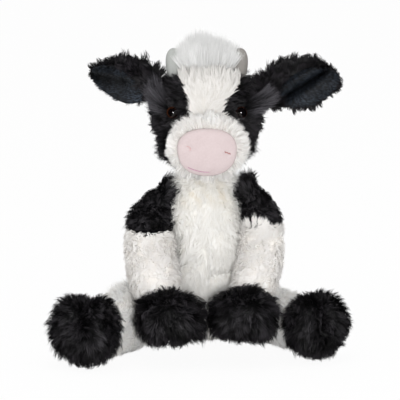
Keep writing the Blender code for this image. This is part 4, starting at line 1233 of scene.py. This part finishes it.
# How much longer each ear's pile is at the root, and how much shorter at the tip and below
EAR_TRIM = {"left": (0.6, 0.45, 0.25), "right": (0.45, 0.3, 0)}
# How far each ear's pile leans towards the tip
EAR_LEAN = {"left": 0.35, "right": 0.6}


def ear_frame(side):
    """The root, the way to the tip, the way up from the axis, and the length."""
    root, tip = (np.array(end, float) for end in EAR_AXES[side])
    length = np.linalg.norm(tip - root)
    way = (tip - root) / length
    return root, way, np.array([-way[2] * SIGN[side], 0, way[0] * SIGN[side]]), length


def ear_rims(side, share):
    """How far the leaf reaches above and below its axis, and how far its ends are rounded."""
    along = 2 * np.clip(share, 0, 1) - 1
    round_off = np.maximum(1 - abs(along) ** 4, 0) ** 0.25
    return (smooth_values(EAR_UPPER[side], share) * round_off,
            smooth_values(EAR_LOWER[side], share) * round_off, round_off)


def above_fold(share, height):
    """How far above the left ear's fold a place lies."""
    return height - (-4.5 + (share - 0.35) * 36)


def ear_cup(side, share, height):
    """How far back a place of the leaf lies: its edges curl forward, and it has one fold."""
    upper, lower, round_off = ear_rims(side, share)
    across = np.where(height > 0, height / np.maximum(upper, 1), height / np.maximum(lower, 1))
    cup = 4.5 * (1 - across ** 2) * round_off - 3.0
    if side == "right":
        return cup + 2.0 * bell(height - (2 - (share - 0.5) * 6), 6) * ramp(share, 0.1, 0.3)
    off = above_fold(share, height)
    there = ramp(share, 0.2, 0.35) * ramp(share, 0.9, 0.78)
    return cup + there * (6.5 * bell(off, 3.6) - 3.5 * bell(off - 6.5, 4))


def ear_leaf(side):
    """The closed leaf, front and back meeting at the rim."""
    root, way, up, length = ear_frame(side)
    steps, rows = 48, 30
    share = 0.5 - 0.5 * np.cos(math.pi * np.linspace(0.03, 0.97, steps))
    across = np.sin(math.pi / 2 * np.linspace(-1, 1, rows))
    share, across = (grid.ravel() for grid in np.meshgrid(share, across, indexing="ij"))
    upper, lower, round_off = ear_rims(side, share)
    height = np.where(across > 0, across * upper, across * lower)
    depth = ear_cup(side, share, height)
    thick = 2.4 * np.sqrt(np.maximum(1 - across ** 2, 0)) * round_off
    along = share * length * (1 - EAR_TIP[side] * ramp(share, 0.4, 1.0))
    middle = root + way * along[:, None] + up * height[:, None]
    front, back = ((middle + columns(0, depth + turned * thick, 0)).reshape(steps, rows, 3)
                   for turned in (-1, 1))
    rings = np.concatenate([front, back[:, -2:0:-1]], axis=1)
    return tube(rings, rings[0].mean(axis=0), rings[-1].mean(axis=0))


def make_ear(side):
    """Black pile over the leaf, and a short slate nap on the lining inside its front."""
    root, way, up, length = ear_frame(side)
    body = f"ear_body_{side}"

    def spot(points):
        """A place's share of the ear's length, and its height above the axis."""
        offset = points - root
        return offset @ way / length, offset @ up

    def lined(points, margin=0.0):
        """True on the front, inside the lining."""
        share, height = spot(points)
        _, lower, _ = ear_rims(side, share)
        front = points[:, 1] < root[1] + ear_cup(side, share, height) + 0.3
        if side == "left":
            off = (height - 1 - (share - 0.6) * 14) / (14 + margin)
            return front & (((share - 0.6) / (0.3 + margin / length)) ** 2 + off ** 2 < 1)
        top = smooth_values((-14, -9, 0.5, 7.4, 6.4, 0), share) + margin
        return front & (height < top) & (height > 0.8 - lower) & (share > 0.2) & (share < 0.95)

    def wide_lined(points):
        return lined(points, 1.0)

    def keep(points):
        share, height = spot(points)
        kept = ~lined(points) & (share > 0.03)
        if side == "left":
            return kept
        _, lower, _ = ear_rims(side, share)
        return kept & ~((height < -0.72 * lower) & (share > 0.25) & (share < 0.92))

    def comb(place, normal):
        share, height = spot(place)
        lean = EAR_LEAN[side] - 1.5 * (1 - ramp(share, 0, 0.2)) * (height > 0)
        return way * lean[:, None] + up * (height / 14)[:, None]

    def trim(place):
        share, height = spot(place)
        longer, shorter, below = EAR_TRIM[side]
        under = below * ramp(height, -2, -8)
        return (1 + longer * bell(share - 0.1, 0.15) * (height > 0)
                - shorter * ramp(share, 0.66, 0.86) * (1 - under) - under)

    def painted_fold_shade(place, colour):
        """Painted shade darker in the ear's fold, and painted light paler towards its rim and its root.
        """
        share, height = spot(place)
        if side == "left":
            fold = bell(above_fold(share, height), 3.4) * ramp(share, 0.2, 0.35)
            shade = 0.85 - 0.8 * fold + 0.25 * ramp(share, 0.8, 0.9)
        else:
            fold = bell(height + 2 + (share - 0.5) * 4, 6) * ramp(share, 0.35, 0.5)
            shade = 0.8 - 0.6 * fold + 0.7 * ramp(share, 0.42, 0.3) * (height < 0)
        return colour * np.clip(shade, 0.1, 2)[:, None]

    leaf = ear_leaf(side)
    hairs = grow_pile(leaf, EAR_BLACK, keep, comb, 101 + SIGN[side], trim=trim)
    plush(f"ear_plush_{side}", leaf, hairs, EAR_BLACK, body, [f"ear_{side}"])
    lining = shell(leaf, wide_lined, 0.8)
    # The lining's nap gets painted shade in its fold and painted light towards its rim and its root.
    hairs = grow_pile(lining, EAR_NAP, wide_lined,
                      lambda place, normal: np.tile(way - 0.5 * up, (len(place), 1)),
                      111 + SIGN[side], painted_fold_shade)
    plush(f"ear_velour_{side}", lining, hairs, EAR_NAP, body, [f"ear_lining_{side}"])


def make_bag():
    """The bag of pellets stays as packed, out of sight, in plain woven cotton."""
    cotton, tree, shader = new_material("woven_cotton_bag", Base_Color=rgba("#DDD9CF"), Roughness=0.9)
    where = node(tree, "ShaderNodeTexCoord").outputs["Object"]
    weave = node(tree, "ShaderNodeTexWave", {"Vector": where, "Scale": 1 / (1.2 * MM)})
    bump = node(tree, "ShaderNodeBump", {"Height": weave.outputs["Fac"], "Strength": 0.4,
                                         "Distance": 0.2 * MM})
    tree.links.new(bump.outputs["Normal"], shader.inputs["Normal"])
    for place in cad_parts["pellet_bag"].material_slots:
        place.material = cotton


# Scene

FLOOR_SHARE = 0.945  # how much of the floor's own white shows to the camera, the rest being lit
ROOM_LIGHT = 0.72  # the room's strength as light; the camera sees it at full white
# Each lamp's place, size and power
LAMPS = {"key": ((150, -1700, 300), 300, 11.8), "side": ((-1900, -1700, 350), 900, 8),
         "top": ((0, -200, 1600), 1200, 5)}
LAMPS_AIM = np.array([0, -40, 130])
CAMERA_AIM, CAMERA_DROP, CAMERA_AWAY = np.array([-4.2, -30, 118]), math.radians(10), 2000


def put(name, data, place, way):
    """A lamp or camera at a place, looking the way that way points."""
    thing = bpy.data.objects.new(name, data)
    thing.location = Vector(np.array(place) * MM)
    thing.rotation_mode = "QUATERNION"
    thing.rotation_quaternion = Vector(way).to_track_quat("-Z", "Y")
    bpy.context.scene.collection.objects.link(thing)
    return thing


def make_floor():
    """A pale matt floor that keeps the cow's shadow, and shows nearly white around it."""
    made, tree, shader = new_material("pale_floor", Base_Color=(0.95, 0.95, 0.95, 1), Roughness=1,
                                      Specular_IOR_Level=0)
    glow = node(tree, "ShaderNodeEmission", {"Color": (1, 1, 1, 1), "Strength": 1})
    path = node(tree, "ShaderNodeLightPath").outputs
    seen = node(tree, "ShaderNodeMath", {0: path["Is Camera Ray"], 1: path["Is Glossy Ray"]},
                operation="MAXIMUM")
    seen = node(tree, "ShaderNodeMath", {0: seen.outputs[0], 1: path["Is Transmission Ray"]},
                operation="MAXIMUM")
    share = node(tree, "ShaderNodeMath", {0: seen.outputs[0], 1: FLOOR_SHARE}, operation="MULTIPLY")
    mixed = node(tree, "ShaderNodeMixShader", {0: share.outputs[0], 1: shader.outputs[0],
                                               2: glow.outputs[0]})
    tree.links.new(mixed.outputs[0], tree.nodes["Material Output"].inputs["Surface"])
    corners = 6000 * np.array([(-1, -1, 0), (1, -1, 0), (1, 1, 0), (-1, 1, 0)]) - 0.2 * UP
    floor = mesh_object("floor", corners, np.array([(0, 1, 2), (0, 2, 3)]))
    floor.data.materials.append(made)
    floor.visible_glossy = False


def make_light():
    """A white room and three soft lamps; only the key lamp glints in the eyes."""
    world = bpy.data.worlds.new("soft_room")
    bpy.context.scene.world = world
    world.use_nodes = True
    backdrop = world.node_tree.nodes["Background"]
    backdrop.inputs["Color"].default_value = (1, 1, 1, 1)
    path = node(world.node_tree, "ShaderNodeLightPath")
    level = node(world.node_tree, "ShaderNodeMapRange", {"Value": path.outputs["Is Camera Ray"],
                                                         "To Min": ROOM_LIGHT, "To Max": 1.0})
    world.node_tree.links.new(level.outputs["Result"], backdrop.inputs["Strength"])
    world.cycles_visibility.glossy = False
    for name, (place, size, power) in LAMPS.items():
        lamp = bpy.data.lights.new(name, "AREA")
        lamp.shape = "DISK"
        lamp.size = size * MM
        lamp.energy = power
        put(name, lamp, place, (LAMPS_AIM - place) * MM).visible_glossy = name == "key"


def make_camera():
    """The photograph's view: from about 10 degrees above level, with a long lens."""
    lens = bpy.data.cameras.new("camera")
    lens.sensor_width = 36
    lens.lens = 214.3
    lens.clip_start = 0.05
    lens.clip_end = 50
    look = np.array([0, math.cos(CAMERA_DROP), -math.sin(CAMERA_DROP)])
    up = np.array([0, math.sin(CAMERA_DROP), math.cos(CAMERA_DROP)])
    place = CAMERA_AIM + up * 10.1 - look * CAMERA_AWAY
    bpy.context.scene.camera = put("camera", lens, place, look)


make_camera()
make_light()
make_floor()
make_body()
make_head()
make_muzzle()
make_nose()
make_stitches()
make_eyes()
make_horns()
make_topknot()
for side in SIGN:
    make_tuft(side)
    make_ear(side)
    make_arm(side)
    make_leg(side)
make_bag()

bpy.context.scene.view_settings.view_transform = "Standard"
